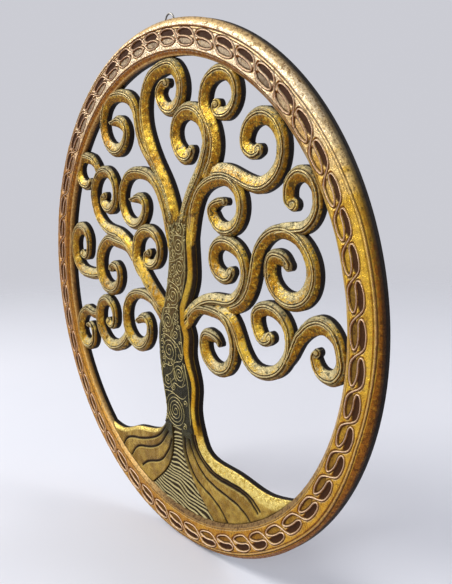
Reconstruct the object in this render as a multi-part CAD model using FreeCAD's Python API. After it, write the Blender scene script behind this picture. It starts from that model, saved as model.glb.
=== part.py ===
import FreeCAD, Part
import math
import os
from FreeCAD import Vector

# Carved tree of life wall plaque. Millimetres, +Z up, the carved face looks along -Y.
# The origin is the centre of the flat back, so the wall is the plane y = 0.

# ---- driving dimensions -------------------------------------------------------------
RIM_OUTER_RADIUS = 300.0
RIM_INNER_RADIUS = 262.0
BOARD_THICKNESS = 15.0          # at the crown of the rim
RIM_OUTER_EDGE = 9.0            # height of the straight outer wall
RIM_LIP = 11.0                  # height of the inner lip
BAND_OUTER_RADIUS = 290.0       # the flat band that carries the chain of S scrolls
BAND_INNER_RADIUS = 269.0
TRUNK_THICKNESS = 11.0
ROOT_THICKNESS = 10.5
SCROLL_SHOULDER = 8.0           # height of a branch at its two edges
SCROLL_RIDGE = 12.0             # height of a branch along its middle
RIDGE_SHARE = 0.40              # width of the raised middle as a share of the branch

# hanger: a D ring held by a folded steel strap, sunk in a pocket at the top of the back
POCKET_WIDTH = 26.0
POCKET_DEPTH = 4.4
POCKET_BOTTOM = 271.0
RING_WIRE = 2.0
RING_WIDTH = 16.0               # between the middles of the two legs
RING_HEIGHT = 14.0              # from the hinge bar to the middle of the bow
RING_HINGE_Z = 293.5
STRAP_THICKNESS = 0.8
STRAP_WIDTH = 11.0
STRAP_BOTTOM = 274.0
SCREW_Z = 281.0
SCREW_HEAD_DIAMETER = 6.0
SCREW_HEAD_HEIGHT = 1.2
SCREW_SHANK_DIAMETER = 3.0
SCREW_LENGTH = 6.5

# ---- the 21 branches ----------------------------------------------------------------
# stem:   points (x, z) from where the branch leaves its parent to its coil
# centre: middle of the coil; start: angle where the coil begins, in degrees
# turn:   1 counter-clockwise or -1 clockwise, seen from the front
# radii:  distance from the coil's centre at the start and after every quarter turn
# widths: at the root, where the coil begins, and after every quarter turn
# tip:    the last points (x, z, width) of the branch, which ends in a round head
# A branch stops against every branch listed before it.
BRANCHES = {
    "scroll_left_crown": dict(
        stem=[(2, 84), (-11, 120), (-30, 148), (-45, 175), (-52, 200), (-48, 228), (-32, 246)],
        centre=(2, 226), start=90, turn=-1, radii=[27.5, 21, 19, 20.5],
        widths=[20, 17, 19, 16, 13], tip=[(-12.5, 234.5, 12), (-5, 236, 10)]),
    "scroll_left_upper": dict(
        stem=[(-36, 146), (-57, 168), (-67, 190), (-72, 212), (-84, 226)],
        centre=(-114, 194), start=75, turn=1, radii=[38.5, 35.5, 28, 19],
        widths=[14, 16, 13, 17, 14],
        tip=[(-103, 198, 16), (-114, 201.5, 15), (-124.5, 200.5, 9), (-130, 200, 5)]),
    "scroll_left_inner_upper": dict(
        stem=[(-2, 34), (-9, 60), (-16, 88), (-28, 116), (-48, 135)],
        centre=(-84, 105), start=80, turn=1, radii=[35, 28.5, 27.5, 23.5],
        widths=[15, 15, 12, 14, 14],
        tip=[(-65.5, 107.5, 14), (-75, 109.5, 14), (-85, 108, 9), (-91, 107, 5)]),
    "scroll_left_long_branch": dict(
        stem=[(-26, -22), (-55, 2), (-80, 28), (-102, 50), (-126, 63), (-152, 68), (-174, 82)],
        centre=(-149, 113), start=190, turn=-1, radii=[36.5, 29, 20.5, 18.5],
        widths=[22, 13, 15, 13, 16], tip=[(-156.5, 98, 15), (-161.5, 105, 13), (-158, 110.5, 9)]),
    "scroll_left_inner_middle": dict(
        stem=[(-68, 12), (-84, 28)],
        centre=(-55, 50), start=190, turn=-1, radii=[31.5, 21.5, 21.5, 19.5],
        widths=[14, 17, 16, 13, 13], tip=[(-60.5, 33, 13), (-62.5, 40, 12), (-57, 45, 9)]),
    "scroll_left_outer_middle": dict(
        stem=[(-94, 36), (-108, 48)],
        centre=(-150, 17), start=60, turn=1, radii=[41, 31.5, 29, 22],
        widths=[14, 15, 18, 20, 13],
        tip=[(-131.5, 15.5, 13), (-139, 21.5, 13), (-147.5, 20.5, 11), (-151, 16.5, 8)]),
    "scroll_left_rim_middle": dict(
        stem=[(-176, 9), (-195, 5)],
        centre=(-223, 38), start=285, turn=-1, radii=[34.5, 27, 28, 13.5],
        widths=[15, 16, 18, 18, 12], tip=[(-213.5, 31, 12), (-221, 27.5, 11), (-229, 31, 9)]),
    "scroll_left_bud_upper": dict(
        stem=[(-170, 142), (-182, 155)],
        centre=(-203, 141), start=70, turn=1, radii=[19.5, 20, 17.5],
        widths=[13, 15, 13, 15], tip=[(-201, 124.5, 12), (-195, 128.5, 9)]),
    "scroll_left_inner_lower": dict(
        stem=[(-28, -40), (-46, -19), (-66, -9)],
        centre=(-88, -45), start=85, turn=1, radii=[37, 31, 29.5, 24],
        widths=[14, 13, 15, 18, 13],
        tip=[(-69, -38.8, 14), (-77, -37.8, 14), (-86.5, -41, 10), (-91, -44, 6)]),
    "scroll_left_outer_lower": dict(
        stem=[(-114, -58), (-127, -76)],
        centre=(-165, -48), start=280, turn=-1, radii=[40, 26, 21, 16],
        widths=[16, 16, 19, 15, 12], tip=[(-151.5, -56, 11), (-159.5, -60.5, 11), (-166, -55, 9)]),
    "scroll_left_rim_lower": dict(
        stem=[(-190, -50)],
        centre=(-223, -76), start=60, turn=1, radii=[28.5, 25, 24.5, 14],
        widths=[14, 14, 17, 18, 12], tip=[(-212.5, -73, 11), (-219, -69, 10), (-226, -71, 7)]),
    "scroll_right_crown": dict(
        stem=[(16, 88), (33, 118), (51, 140), (61, 157)],
        centre=(34, 179), start=-20, turn=1, radii=[33, 25, 26, 24],
        widths=[15, 16, 20, 16, 20], tip=[(33, 158, 16), (37, 162, 11)]),
    "scroll_right_inner_upper": dict(
        stem=[(25, 48), (32, 78), (43, 107), (60, 125)],
        centre=(92, 103), start=100, turn=-1, radii=[29.5, 27, 22.5, 22],
        widths=[19, 14, 16, 16, 14], tip=[(73.5, 104.5, 12), (82, 108.5, 10), (92.5, 109, 8)]),
    "scroll_right_outer_upper": dict(
        stem=[(66, 138), (95, 140), (118, 133), (137, 127)],
        centre=(150, 166), start=270, turn=1, radii=[39.5, 30, 25, 22.5],
        widths=[16, 17, 16, 18, 15], tip=[(132, 160, 15), (139.5, 157.5, 15), (146.5, 159.5, 12)]),
    "scroll_right_upper": dict(
        stem=[(60, 132), (75, 150), (80, 170), (73, 190), (64, 203)],
        centre=(93, 216), start=190, turn=-1, radii=[31, 21.5, 22.5, 20],
        widths=[16, 17, 17, 14, 14], tip=[(85.5, 199.5, 13), (84, 206, 12.5)]),
    "scroll_right_inner_middle": dict(
        stem=[(6, -27), (20, -18), (45, -2), (72, 5), (98, 7), (115, 20)],
        centre=(93, 47), start=-20, turn=1, radii=[30.5, 20, 23.5, 17],
        widths=[14, 14, 17, 15, 17], tip=[(94, 32.5, 15), (99, 37, 11)]),
    "scroll_right_outer_middle": dict(
        stem=[(92, -3), (116, 6), (131, 24), (138, 46)],
        centre=(183, 46), start=155, turn=-1, radii=[42.5, 36, 34, 25, 22.5],
        widths=[14, 15, 14, 19, 18, 17], tip=[(169, 59, 16), (178, 57.5, 15), (185, 51.5, 10)]),
    "scroll_right_rim_upper": dict(
        stem=[(160, 80), (182, 86)],
        centre=(204, 118), start=270, turn=1, radii=[30, 20, 19, 16.5],
        widths=[12, 13, 12, 16, 14], tip=[(189.3, 112, 13.5), (193.5, 108.8, 12.5)]),
    "scroll_right_inner_lower": dict(
        stem=[(8, -38), (20, -27), (38, -11)],
        centre=(72, -44), start=105, turn=-1, radii=[36.5, 28, 29, 24.5],
        widths=[14, 13, 13, 16, 17],
        tip=[(52, -38.5, 16), (61.5, -36.5, 14), (70.5, -39, 11), (75, -43.5, 7)]),
    "scroll_right_outer_lower": dict(
        stem=[(72, -4), (98, -12), (110, -30), (120, -48)],
        centre=(159, -12), start=245, turn=1, radii=[53, 29.5, 19, 23],
        widths=[14, 15, 13, 15, 15], tip=[(143, -22, 15), (150.5, -25.5, 15), (157.5, -22.5, 12)]),
    "scroll_right_rim_lower": dict(
        stem=[(175, -51), (189, -34), (201, -14)],
        centre=(234, -24), start=110, turn=-1, radii=[27, 17.5, 22.5, 15.5],
        widths=[7, 19, 12, 16, 10], tip=[(222, -25, 8)]),
}
STEPS_PER_QUARTER = 3
SECTION_POINTS = 46
TIGHTEST_SHARE = 0.8            # of the bend radius: a branch reaches no further to the inside

# ---- outlines of the trunk and the roots, as (x, z) -----------------------------------
TRUNK_LEFT = [(-36, -160), (-31, -145), (-34, -122), (-39, -96), (-41, -68), (-39, -42), (-33, -28)]
TRUNK_LEFT_UPPER = [(-27, -16), (-21, 2), (-15, 24), (-11, 50), (-11, 84)]
TRUNK_TOP = [(-11, 84), (4, 90), (20, 92), (42, 90)]
TRUNK_RIGHT_UPPER = [(42, 90), (38, 66), (38, 24), (30, 2), (20, -16)]
TRUNK_RIGHT = [(20, -28), (27, -46), (25, -66), (31, -88), (34, -108), (31, -132), (38, -160)]
ROOT_LEFT_TOP = [
    (-36, -160), (-48, -172), (-76, -181), (-104, -186), (-130, -196), (-150, -200), (-172, -197.6)]
ROOT_RIGHT_TOP = [(38, -160), (47, -175), (66, -182), (100, -184), (132, -189), (156, -190), (187, -183.5)]
MOUND_LEFT = [(-20, -160), (-21, -190), (-34, -218), (-56, -239), (-72, -251.9)]
MOUND_RIGHT = [(1, -160), (3, -192), (20, -218), (41, -240), (60, -255.0)]


def at(point, y):
    return Vector(point[0], y, point[1])


def spline(points):
    curve = Part.BSplineCurve()
    curve.interpolate(points)
    return curve


def catmull_rom(values, place):
    """Smooth value between the entries of a list, at a place counted in entries."""
    last = len(values) - 1
    index = min(int(place), last - 1)
    share = place - index
    before = values[index - 1] if index > 0 else 2 * values[0] - values[1]
    after = values[index + 2] if index + 2 <= last else 2 * values[last] - values[last - 1]
    here = values[index]
    there = values[index + 1]
    linear = there - before
    square = 2 * before - 5 * here + 4 * there - after
    cube = 3 * here - before - 3 * there + after
    return 0.5 * (2 * here + linear * share + square * share ** 2 + cube * share ** 3)


def coil_points(branch):
    points = []
    for step in range((len(branch["radii"]) - 1) * STEPS_PER_QUARTER + 1):
        quarter = step / STEPS_PER_QUARTER
        angle = math.radians(branch["start"] + branch["turn"] * 90 * quarter)
        radius = catmull_rom(branch["radii"], quarter)
        x = branch["centre"][0] + radius * math.cos(angle)
        z = branch["centre"][1] + radius * math.sin(angle)
        points.append((x, z))
    return points


def branch_stations(branch):
    """Points evenly spaced along a branch's middle line, with the direction and both half widths there."""
    line = list(branch["stem"]) + coil_points(branch) + [(x, z) for x, z, width in branch["tip"]]
    curve = spline([at(point, 0) for point in line])
    marks = [0]
    marks += range(len(branch["stem"]), len(line) - len(branch["tip"]), STEPS_PER_QUARTER)
    marks += range(len(line) - len(branch["tip"]), len(line))
    places = [0.0]
    for mark in marks[1:]:
        places.append(curve.length(curve.FirstParameter, curve.parameter(at(line[mark], 0))))
    widths = list(branch["widths"]) + [width for x, z, width in branch["tip"]]
    whole = curve.length()
    stations = []
    for index, point in enumerate(curve.toShape().discretize(SECTION_POINTS)):
        place = whole * index / (SECTION_POINTS - 1)
        after = 1
        while after < len(places) - 1 and places[after] < place:
            after += 1
        share = (place - places[after - 1]) / (places[after] - places[after - 1])
        half = 0.5 * (widths[after - 1] + (widths[after] - widths[after - 1]) * share)
        parameter = curve.parameter(point)
        inside = min(half, TIGHTEST_SHARE / max(curve.curvature(parameter), 0.001))
        stations.append((point, curve.tangent(parameter)[0], half, inside))
    return stations


def branch_solid(branch):
    """A band along the branch's line, with upright edges and a ridge bevelled from them."""
    stations = branch_stations(branch)
    sections = []
    for y, share in ((0, 1), (-SCROLL_SHOULDER, 1), (-SCROLL_RIDGE, RIDGE_SHARE)):
        outer = []
        inner = []
        for point, along, half, inside in stations:
            across = Vector(along.z, 0, -along.x) * branch["turn"]
            middle = Vector(point.x, y, point.z)
            outer.append(middle + across * half * share)
            inner.append(middle - across * inside * share)
        nose = 0.5 * (outer[-1] + inner[-1]) + along * 0.5 * (half + inside) * share
        edges = [
            spline(outer).toShape(),
            Part.Arc(outer[-1], nose, inner[-1]).toShape(),
            spline(inner[::-1]).toShape(),
            Part.LineSegment(inner[0], outer[0]).toShape(),
        ]
        sections.append(Part.Wire(edges))
    return Part.makeLoft(sections, True, True)


def slab(edges, thickness):
    """A flat-backed solid of one outline, from the wall to its carved face."""
    return Part.Face(Part.Wire(edges)).extrude(Vector(0, -thickness, 0))


def curve_edge(points):
    return spline([at(point, 0) for point in points]).toShape()


def line_edge(start, end):
    return Part.LineSegment(at(start, 0), at(end, 0)).toShape()


def inner_arc(start, end):
    """Arc along the rim's inner wall between two points that lie on it."""
    first = math.atan2(start[1], start[0])
    last = math.atan2(end[1], end[0])
    middle = 0.5 * (first + last)
    between = (RIM_INNER_RADIUS * math.cos(middle), RIM_INNER_RADIUS * math.sin(middle))
    return Part.Arc(at(start, 0), at(between, 0), at(end, 0)).toShape()


def on_inner_wall(point):
    """The point moved straight out or in until it is on the rim's inner wall."""
    scale = RIM_INNER_RADIUS / math.hypot(point[0], point[1])
    return (point[0] * scale, point[1] * scale)


def make_trunk():
    edges = [
        curve_edge(TRUNK_LEFT),
        line_edge(TRUNK_LEFT[-1], TRUNK_LEFT_UPPER[0]),
        curve_edge(TRUNK_LEFT_UPPER),
        curve_edge(TRUNK_TOP),
        curve_edge(TRUNK_RIGHT_UPPER),
        line_edge(TRUNK_RIGHT_UPPER[-1], TRUNK_RIGHT[0]),
        curve_edge(TRUNK_RIGHT),
        line_edge(TRUNK_RIGHT[-1], TRUNK_LEFT[0]),
    ]
    return slab(edges, TRUNK_THICKNESS)


def make_root(top, mound_side):
    """One root: top edge out to the rim, along the rim, and back up beside the mound."""
    top = top[:-1] + [on_inner_wall(top[-1])]
    side = mound_side[:-1] + [on_inner_wall(mound_side[-1])]
    edges = [
        curve_edge(top),
        inner_arc(top[-1], side[-1]),
        curve_edge(side[::-1]),
        line_edge(side[0], top[0]),
    ]
    return slab(edges, ROOT_THICKNESS)


def make_mound():
    left = MOUND_LEFT[:-1] + [on_inner_wall(MOUND_LEFT[-1])]
    right = MOUND_RIGHT[:-1] + [on_inner_wall(MOUND_RIGHT[-1])]
    edges = [
        curve_edge(left),
        inner_arc(left[-1], right[-1]),
        curve_edge(right[::-1]),
        line_edge(right[0], left[0]),
    ]
    return slab(edges, ROOT_THICKNESS)


def make_rim():
    """The rim: one profile turned about the Y axis, with the hanger's pocket and screw hole."""
    crown_outer = BAND_OUTER_RADIUS + 4
    points = [
        Vector(RIM_INNER_RADIUS, 0, 0),
        Vector(RIM_OUTER_RADIUS, 0, 0),
        Vector(RIM_OUTER_RADIUS, -RIM_OUTER_EDGE, 0),
        Vector(crown_outer, -BOARD_THICKNESS, 0),
        Vector(BAND_INNER_RADIUS, -BOARD_THICKNESS, 0),
        Vector(RIM_INNER_RADIUS, -RIM_LIP, 0),
    ]
    round_over = Vector(RIM_OUTER_RADIUS - 1.8, -13.2, 0)
    edges = [
        Part.LineSegment(points[0], points[1]).toShape(),
        Part.LineSegment(points[1], points[2]).toShape(),
        Part.Arc(points[2], round_over, points[3]).toShape(),
        Part.LineSegment(points[3], points[4]).toShape(),
        Part.LineSegment(points[4], points[5]).toShape(),
        Part.LineSegment(points[5], points[0]).toShape(),
    ]
    profile = Part.Face(Part.Wire(edges))
    ring = profile.revolve(Vector(0, 0, 0), Vector(0, 1, 0), 360)
    pocket_height = RIM_OUTER_RADIUS + 5 - POCKET_BOTTOM
    corner = Vector(-POCKET_WIDTH / 2, -POCKET_DEPTH, POCKET_BOTTOM)
    pocket = Part.makeBox(POCKET_WIDTH, POCKET_DEPTH + 1, pocket_height, corner)
    hole = screw_cylinder(SCREW_SHANK_DIAMETER, -POCKET_DEPTH - SCREW_LENGTH, 0)
    return ring.cut(pocket).cut(hole)


def screw_cylinder(diameter, y_from, y_to):
    start = Vector(0, y_from, SCREW_Z)
    return Part.makeCylinder(diameter / 2, y_to - y_from, start, Vector(0, 1, 0))


def hinge_y():
    """The ring's bar lies on the strap, which lies on the pocket's floor."""
    return -POCKET_DEPTH + STRAP_THICKNESS + RING_WIRE / 2


def make_strap():
    """Folded strap: a knuckle round the ring's bar and a double tab under the screw."""
    inner = RING_WIRE / 2 + 0.1
    outer = inner + STRAP_THICKNESS
    start = Vector(-STRAP_WIDTH / 2, hinge_y(), RING_HINGE_Z)
    along = Vector(1, 0, 0)
    knuckle = Part.makeCylinder(outer, STRAP_WIDTH, start, along)
    tab_height = RING_HINGE_Z - STRAP_BOTTOM
    tab_back = hinge_y() - inner
    tab_corner = Vector(-STRAP_WIDTH / 2, -POCKET_DEPTH, STRAP_BOTTOM)
    tab = Part.makeBox(STRAP_WIDTH, tab_back + POCKET_DEPTH, tab_height, tab_corner)
    bore = Part.makeCylinder(inner, STRAP_WIDTH, start, along)
    below = Part.makeBox(STRAP_WIDTH, POCKET_DEPTH, outer * 4,
                         Vector(-STRAP_WIDTH / 2, -2 * POCKET_DEPTH, RING_HINGE_Z - outer * 2))
    strap = knuckle.fuse(tab).cut(bore).cut(below)
    hole = screw_cylinder(SCREW_SHANK_DIAMETER, -POCKET_DEPTH - 1, 0)
    return strap.cut(hole).removeSplitter()


def make_screw():
    seat = hinge_y() - RING_WIRE / 2 - 0.1
    head = screw_cylinder(SCREW_HEAD_DIAMETER, seat, seat + SCREW_HEAD_HEIGHT)
    shank = screw_cylinder(SCREW_SHANK_DIAMETER, seat - SCREW_LENGTH + 1, seat)
    slot_corner = Vector(-SCREW_HEAD_DIAMETER / 2, seat + SCREW_HEAD_HEIGHT - 0.5, SCREW_Z - 0.4)
    slot = Part.makeBox(SCREW_HEAD_DIAMETER, 1, 0.8, slot_corner)
    return head.fuse(shank).cut(slot).removeSplitter()


def make_ring():
    """D ring standing up in its hinge: a straight bar, two corners, two legs and a bow."""
    y = hinge_y()
    half = RING_WIDTH / 2
    corner = 2.0
    bow_start = RING_HEIGHT - half
    outline = [
        (-half + corner, 0), (half - corner, 0),
        (half - corner + corner * 0.7071, corner - corner * 0.7071), (half, corner),
        (half, bow_start), (0, RING_HEIGHT), (-half, bow_start),
        (-half, corner), (-half + corner - corner * 0.7071, corner - corner * 0.7071),
    ]
    place = [Vector(x, y, RING_HINGE_Z + z) for x, z in outline]
    edges = [
        Part.LineSegment(place[0], place[1]).toShape(),
        Part.Arc(place[1], place[2], place[3]).toShape(),
        Part.LineSegment(place[3], place[4]).toShape(),
        Part.Arc(place[4], place[5], place[6]).toShape(),
        Part.LineSegment(place[6], place[7]).toShape(),
        Part.Arc(place[7], place[8], place[0]).toShape(),
    ]
    section = Part.Wire([Part.Circle(place[0], Vector(1, 0, 0), RING_WIRE / 2).toShape()])
    return Part.Wire(edges).makePipeShell([section], True, False)


def largest_solid(shape):
    return max(shape.Solids, key=lambda solid: solid.Volume)


def make_parts():
    parts = {
        "rim": make_rim(),
        "trunk": make_trunk(),
        "root_left": make_root(ROOT_LEFT_TOP, MOUND_LEFT),
        "root_right": make_root(ROOT_RIGHT_TOP, MOUND_RIGHT),
        "root_mound": make_mound(),
    }
    clearance = Part.makeCylinder(RIM_INNER_RADIUS, 4 * BOARD_THICKNESS,
                                  Vector(0, -2 * BOARD_THICKNESS, 0), Vector(0, 1, 0))
    for name, branch in BRANCHES.items():
        solid = branch_solid(branch).common(clearance)
        for other_name, other in parts.items():
            if other_name == "rim" or not solid.BoundBox.intersect(other.BoundBox):
                continue
            solid = largest_solid(solid.cut(other))
        parts[name] = largest_solid(solid)
    parts["hanger_strap"] = make_strap()
    parts["hanger_screw"] = make_screw()
    parts["hanger_ring"] = make_ring()
    return parts


os.makedirs("parts", exist_ok=True)
for node, shape in make_parts().items():
    shape.exportStep("parts/" + node + ".step")
    print(node, "volume %.0f" % shape.Volume, "solids", len(shape.Solids), "valid", shape.isValid())
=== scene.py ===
import math

import bpy
import numpy as np
from mathutils import Matrix, Vector
from mathutils.geometry import delaunay_2d_cdt
from mathutils.kdtree import KDTree


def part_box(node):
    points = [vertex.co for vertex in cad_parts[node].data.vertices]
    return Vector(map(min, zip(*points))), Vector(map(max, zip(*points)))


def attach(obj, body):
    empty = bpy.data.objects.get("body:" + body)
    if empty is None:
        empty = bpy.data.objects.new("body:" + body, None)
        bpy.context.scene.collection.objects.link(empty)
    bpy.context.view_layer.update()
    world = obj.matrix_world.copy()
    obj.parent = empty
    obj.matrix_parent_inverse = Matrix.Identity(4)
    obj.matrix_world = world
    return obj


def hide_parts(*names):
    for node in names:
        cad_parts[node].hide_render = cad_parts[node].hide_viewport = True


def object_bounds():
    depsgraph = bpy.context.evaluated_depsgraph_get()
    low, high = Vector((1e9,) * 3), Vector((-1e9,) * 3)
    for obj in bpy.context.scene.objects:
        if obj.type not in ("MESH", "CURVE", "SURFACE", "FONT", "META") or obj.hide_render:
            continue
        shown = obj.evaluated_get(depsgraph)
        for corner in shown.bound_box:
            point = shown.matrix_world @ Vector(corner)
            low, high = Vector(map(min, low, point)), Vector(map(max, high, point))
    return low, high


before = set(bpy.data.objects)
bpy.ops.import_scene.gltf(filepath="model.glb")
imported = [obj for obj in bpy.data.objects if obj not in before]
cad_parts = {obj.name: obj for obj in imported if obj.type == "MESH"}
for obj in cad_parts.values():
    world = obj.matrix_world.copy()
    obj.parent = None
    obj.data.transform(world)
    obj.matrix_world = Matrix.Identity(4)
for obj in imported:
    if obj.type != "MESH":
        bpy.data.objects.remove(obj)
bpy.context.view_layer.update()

# ---- the frame ----------------------------------------------------------------------
# Shapes are in millimetres in the plaque's own plane: x to the right, z up, and "height" from
# the flat back towards the viewer. to_world turns that into the frame's metres. The materials,
# the floor, the lights and the camera are in metres.
MM = 0.001
rim_low, rim_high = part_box("rim")
CENTRE_X = (rim_low.x + rim_high.x) / 2
CENTRE_Z = (rim_low.z + rim_high.z) / 2
BACK_Y = rim_high.y
RIM_OUTER = (rim_high.x - rim_low.x) / 2 / MM
RIM_HEIGHT = (rim_high.y - rim_low.y) / MM
trunk_low, trunk_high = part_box("trunk")
TRUNK_HEIGHT = (trunk_high.y - trunk_low.y) / MM
root_low, root_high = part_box("root_left")
ROOT_HEIGHT = (root_high.y - root_low.y) / MM
branch_low, branch_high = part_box("scroll_left_crown")
BRANCH_HEIGHT = (branch_high.y - branch_low.y) / MM
RIM_INNER = 262.0
BODY = "plaque"
WALL_SHARES = np.array([0.0, 0.35, 0.75])    # rows of points up a straight side, as shares of its height


def to_world(x, height, z):
    """Stacks plaque coordinates in millimetres as world points in metres."""
    return np.stack([CENTRE_X + x * MM, BACK_Y - height * MM, CENTRE_Z + z * MM], -1)


# ---- numbers that vary smoothly ------------------------------------------------------
def smooth_step(low, high, value):
    """0 at low and 1 at high, with a smooth change between; low may be the larger of the two."""
    share = np.clip((value - low) / (high - low), 0.0, 1.0)
    return share * share * (3 - 2 * share)


def waves(x, z, seed, wavelength, count=7):
    """A smooth hand-made unevenness between about -1 and 1: a few sine waves in random directions."""
    random = np.random.default_rng(seed)
    total = np.zeros(np.broadcast(x, z).shape)
    for _ in range(count):
        angle = random.uniform(0, math.tau)
        length = wavelength * random.uniform(0.7, 1.5)
        phase = random.uniform(0, math.tau)
        along = x * math.cos(angle) + z * math.sin(angle)
        total += np.sin(along / length * math.tau + phase)
    return total / math.sqrt(count)


def drift(place, seed, period, count=5):
    """The same along one line; it repeats after period, so it can go round a ring."""
    random = np.random.default_rng(seed)
    total = np.zeros(np.shape(place))
    for _ in range(count):
        turns = random.integers(2, 12)
        wave = np.sin(place / period * math.tau * turns + random.uniform(0, math.tau))
        total += wave * random.uniform(0.4, 1)
    return total / math.sqrt(count)


def dimple(offset, half_width):
    """A smooth bump of height 1 at offset 0 that ends at half_width."""
    return 0.5 + 0.5 * np.cos(np.clip(offset / half_width, -1, 1) * math.pi)


def curve_through(points, spacing):
    """Evenly spaced points and tangents on a smooth curve through the given (x, z) points."""
    points = np.asarray(points, float)
    chord = np.sqrt(np.linalg.norm(np.diff(points, axis=0), axis=1))
    knots = np.r_[0, np.cumsum(chord)]
    slopes = spline_slopes(knots, points)
    dense = np.linspace(0, knots[-1], 60 * len(points))
    line = spline_value(knots, points, slopes, dense)
    length = np.r_[0, np.cumsum(np.linalg.norm(np.diff(line, axis=0), axis=1))]
    count = max(int(length[-1] / spacing), 4)
    at = np.interp(np.linspace(0, length[-1], count + 1), length, dense)
    place = spline_value(knots, points, slopes, at)
    tangent = np.gradient(place, axis=0)
    tangent /= np.linalg.norm(tangent, axis=1)[:, None]
    knot_length = np.interp(knots, dense, length)
    return place, tangent, length[-1], knot_length


def spline_slopes(knots, points):
    """Slopes at the knots of the natural cubic spline through the points."""
    count = len(knots)
    gap = np.diff(knots)
    matrix = np.zeros((count, count))
    right = np.zeros((count, points.shape[1]))
    rise = np.diff(points, axis=0) / gap[:, None]
    matrix[0, 0], matrix[0, 1] = 2, 1
    right[0] = 3 * rise[0]
    matrix[-1, -1], matrix[-1, -2] = 2, 1
    right[-1] = 3 * rise[-1]
    for i in range(1, count - 1):
        matrix[i, i - 1] = gap[i]
        matrix[i, i] = 2 * (gap[i - 1] + gap[i])
        matrix[i, i + 1] = gap[i - 1]
        right[i] = 3 * (rise[i - 1] * gap[i] + rise[i] * gap[i - 1])
    return np.linalg.solve(matrix, right)


def spline_value(knots, points, slopes, at):
    """The cubic spline with these slopes at its knots, evaluated at each value of at."""
    index = np.clip(np.searchsorted(knots, at, side="right") - 1, 0, len(knots) - 2)
    gap = (knots[index + 1] - knots[index])[:, None]
    share = (at - knots[index])[:, None] / gap
    start, end = points[index], points[index + 1]
    leave, arrive = slopes[index] * gap, slopes[index + 1] * gap
    return (start * (2 * share**3 - 3 * share**2 + 1) + leave * (share**3 - 2 * share**2 + share)
            + end * (3 * share**2 - 2 * share**3) + arrive * (share**3 - share**2))


def catmull_rom(before, here, there, after, share):
    """The smooth curve between here and there, for numbers or whole arrays."""
    square = 2 * before - 5 * here + 4 * there - after
    cube = 3 * here - before - 3 * there + after
    return 0.5 * (2 * here + (there - before) * share + square * share**2 + cube * share**3)


# ---- meshes --------------------------------------------------------------------------
def add_to_scene(name, data):
    thing = bpy.data.objects.new(name, data)
    bpy.context.scene.collection.objects.link(thing)
    return thing


def make_object(name, points, faces, layers, material, replaced=None):
    """A mesh piece on the plaque, smooth but for its large flat faces, with an attribute for each layer."""
    mesh = bpy.data.meshes.new(name)
    mesh.from_pydata(points.tolist(), [], faces)
    mesh.validate()
    mesh.update()
    mesh.polygons.foreach_set("use_smooth", [len(polygon.vertices) <= 4 for polygon in mesh.polygons])
    for layer, values in layers.items():
        attribute = mesh.attributes.new(layer, "FLOAT", "POINT")
        attribute.data.foreach_set("value", np.asarray(values, np.float32).ravel())
    mesh.materials.append(material)
    piece = add_to_scene(name, mesh)
    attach(piece, BODY)
    if replaced:
        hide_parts(replaced)


def tube_faces(rows, columns, close_rows=False):
    """Quads of a grid whose columns close on themselves; without close_rows the ends are capped."""
    index = np.arange(rows * columns).reshape(rows, columns)
    following = np.roll(index, -1, axis=1)
    if close_rows:
        upper = np.roll(index, -1, axis=0)
        upper_next = np.roll(following, -1, axis=0)
        return np.stack([index, following, upper_next, upper], -1).reshape(-1, 4).tolist()
    quads = np.stack([index[:-1], following[:-1], following[1:], index[1:]], -1).reshape(-1, 4)
    return quads.tolist() + [index[0][::-1].tolist(), index[-1].tolist()]


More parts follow.
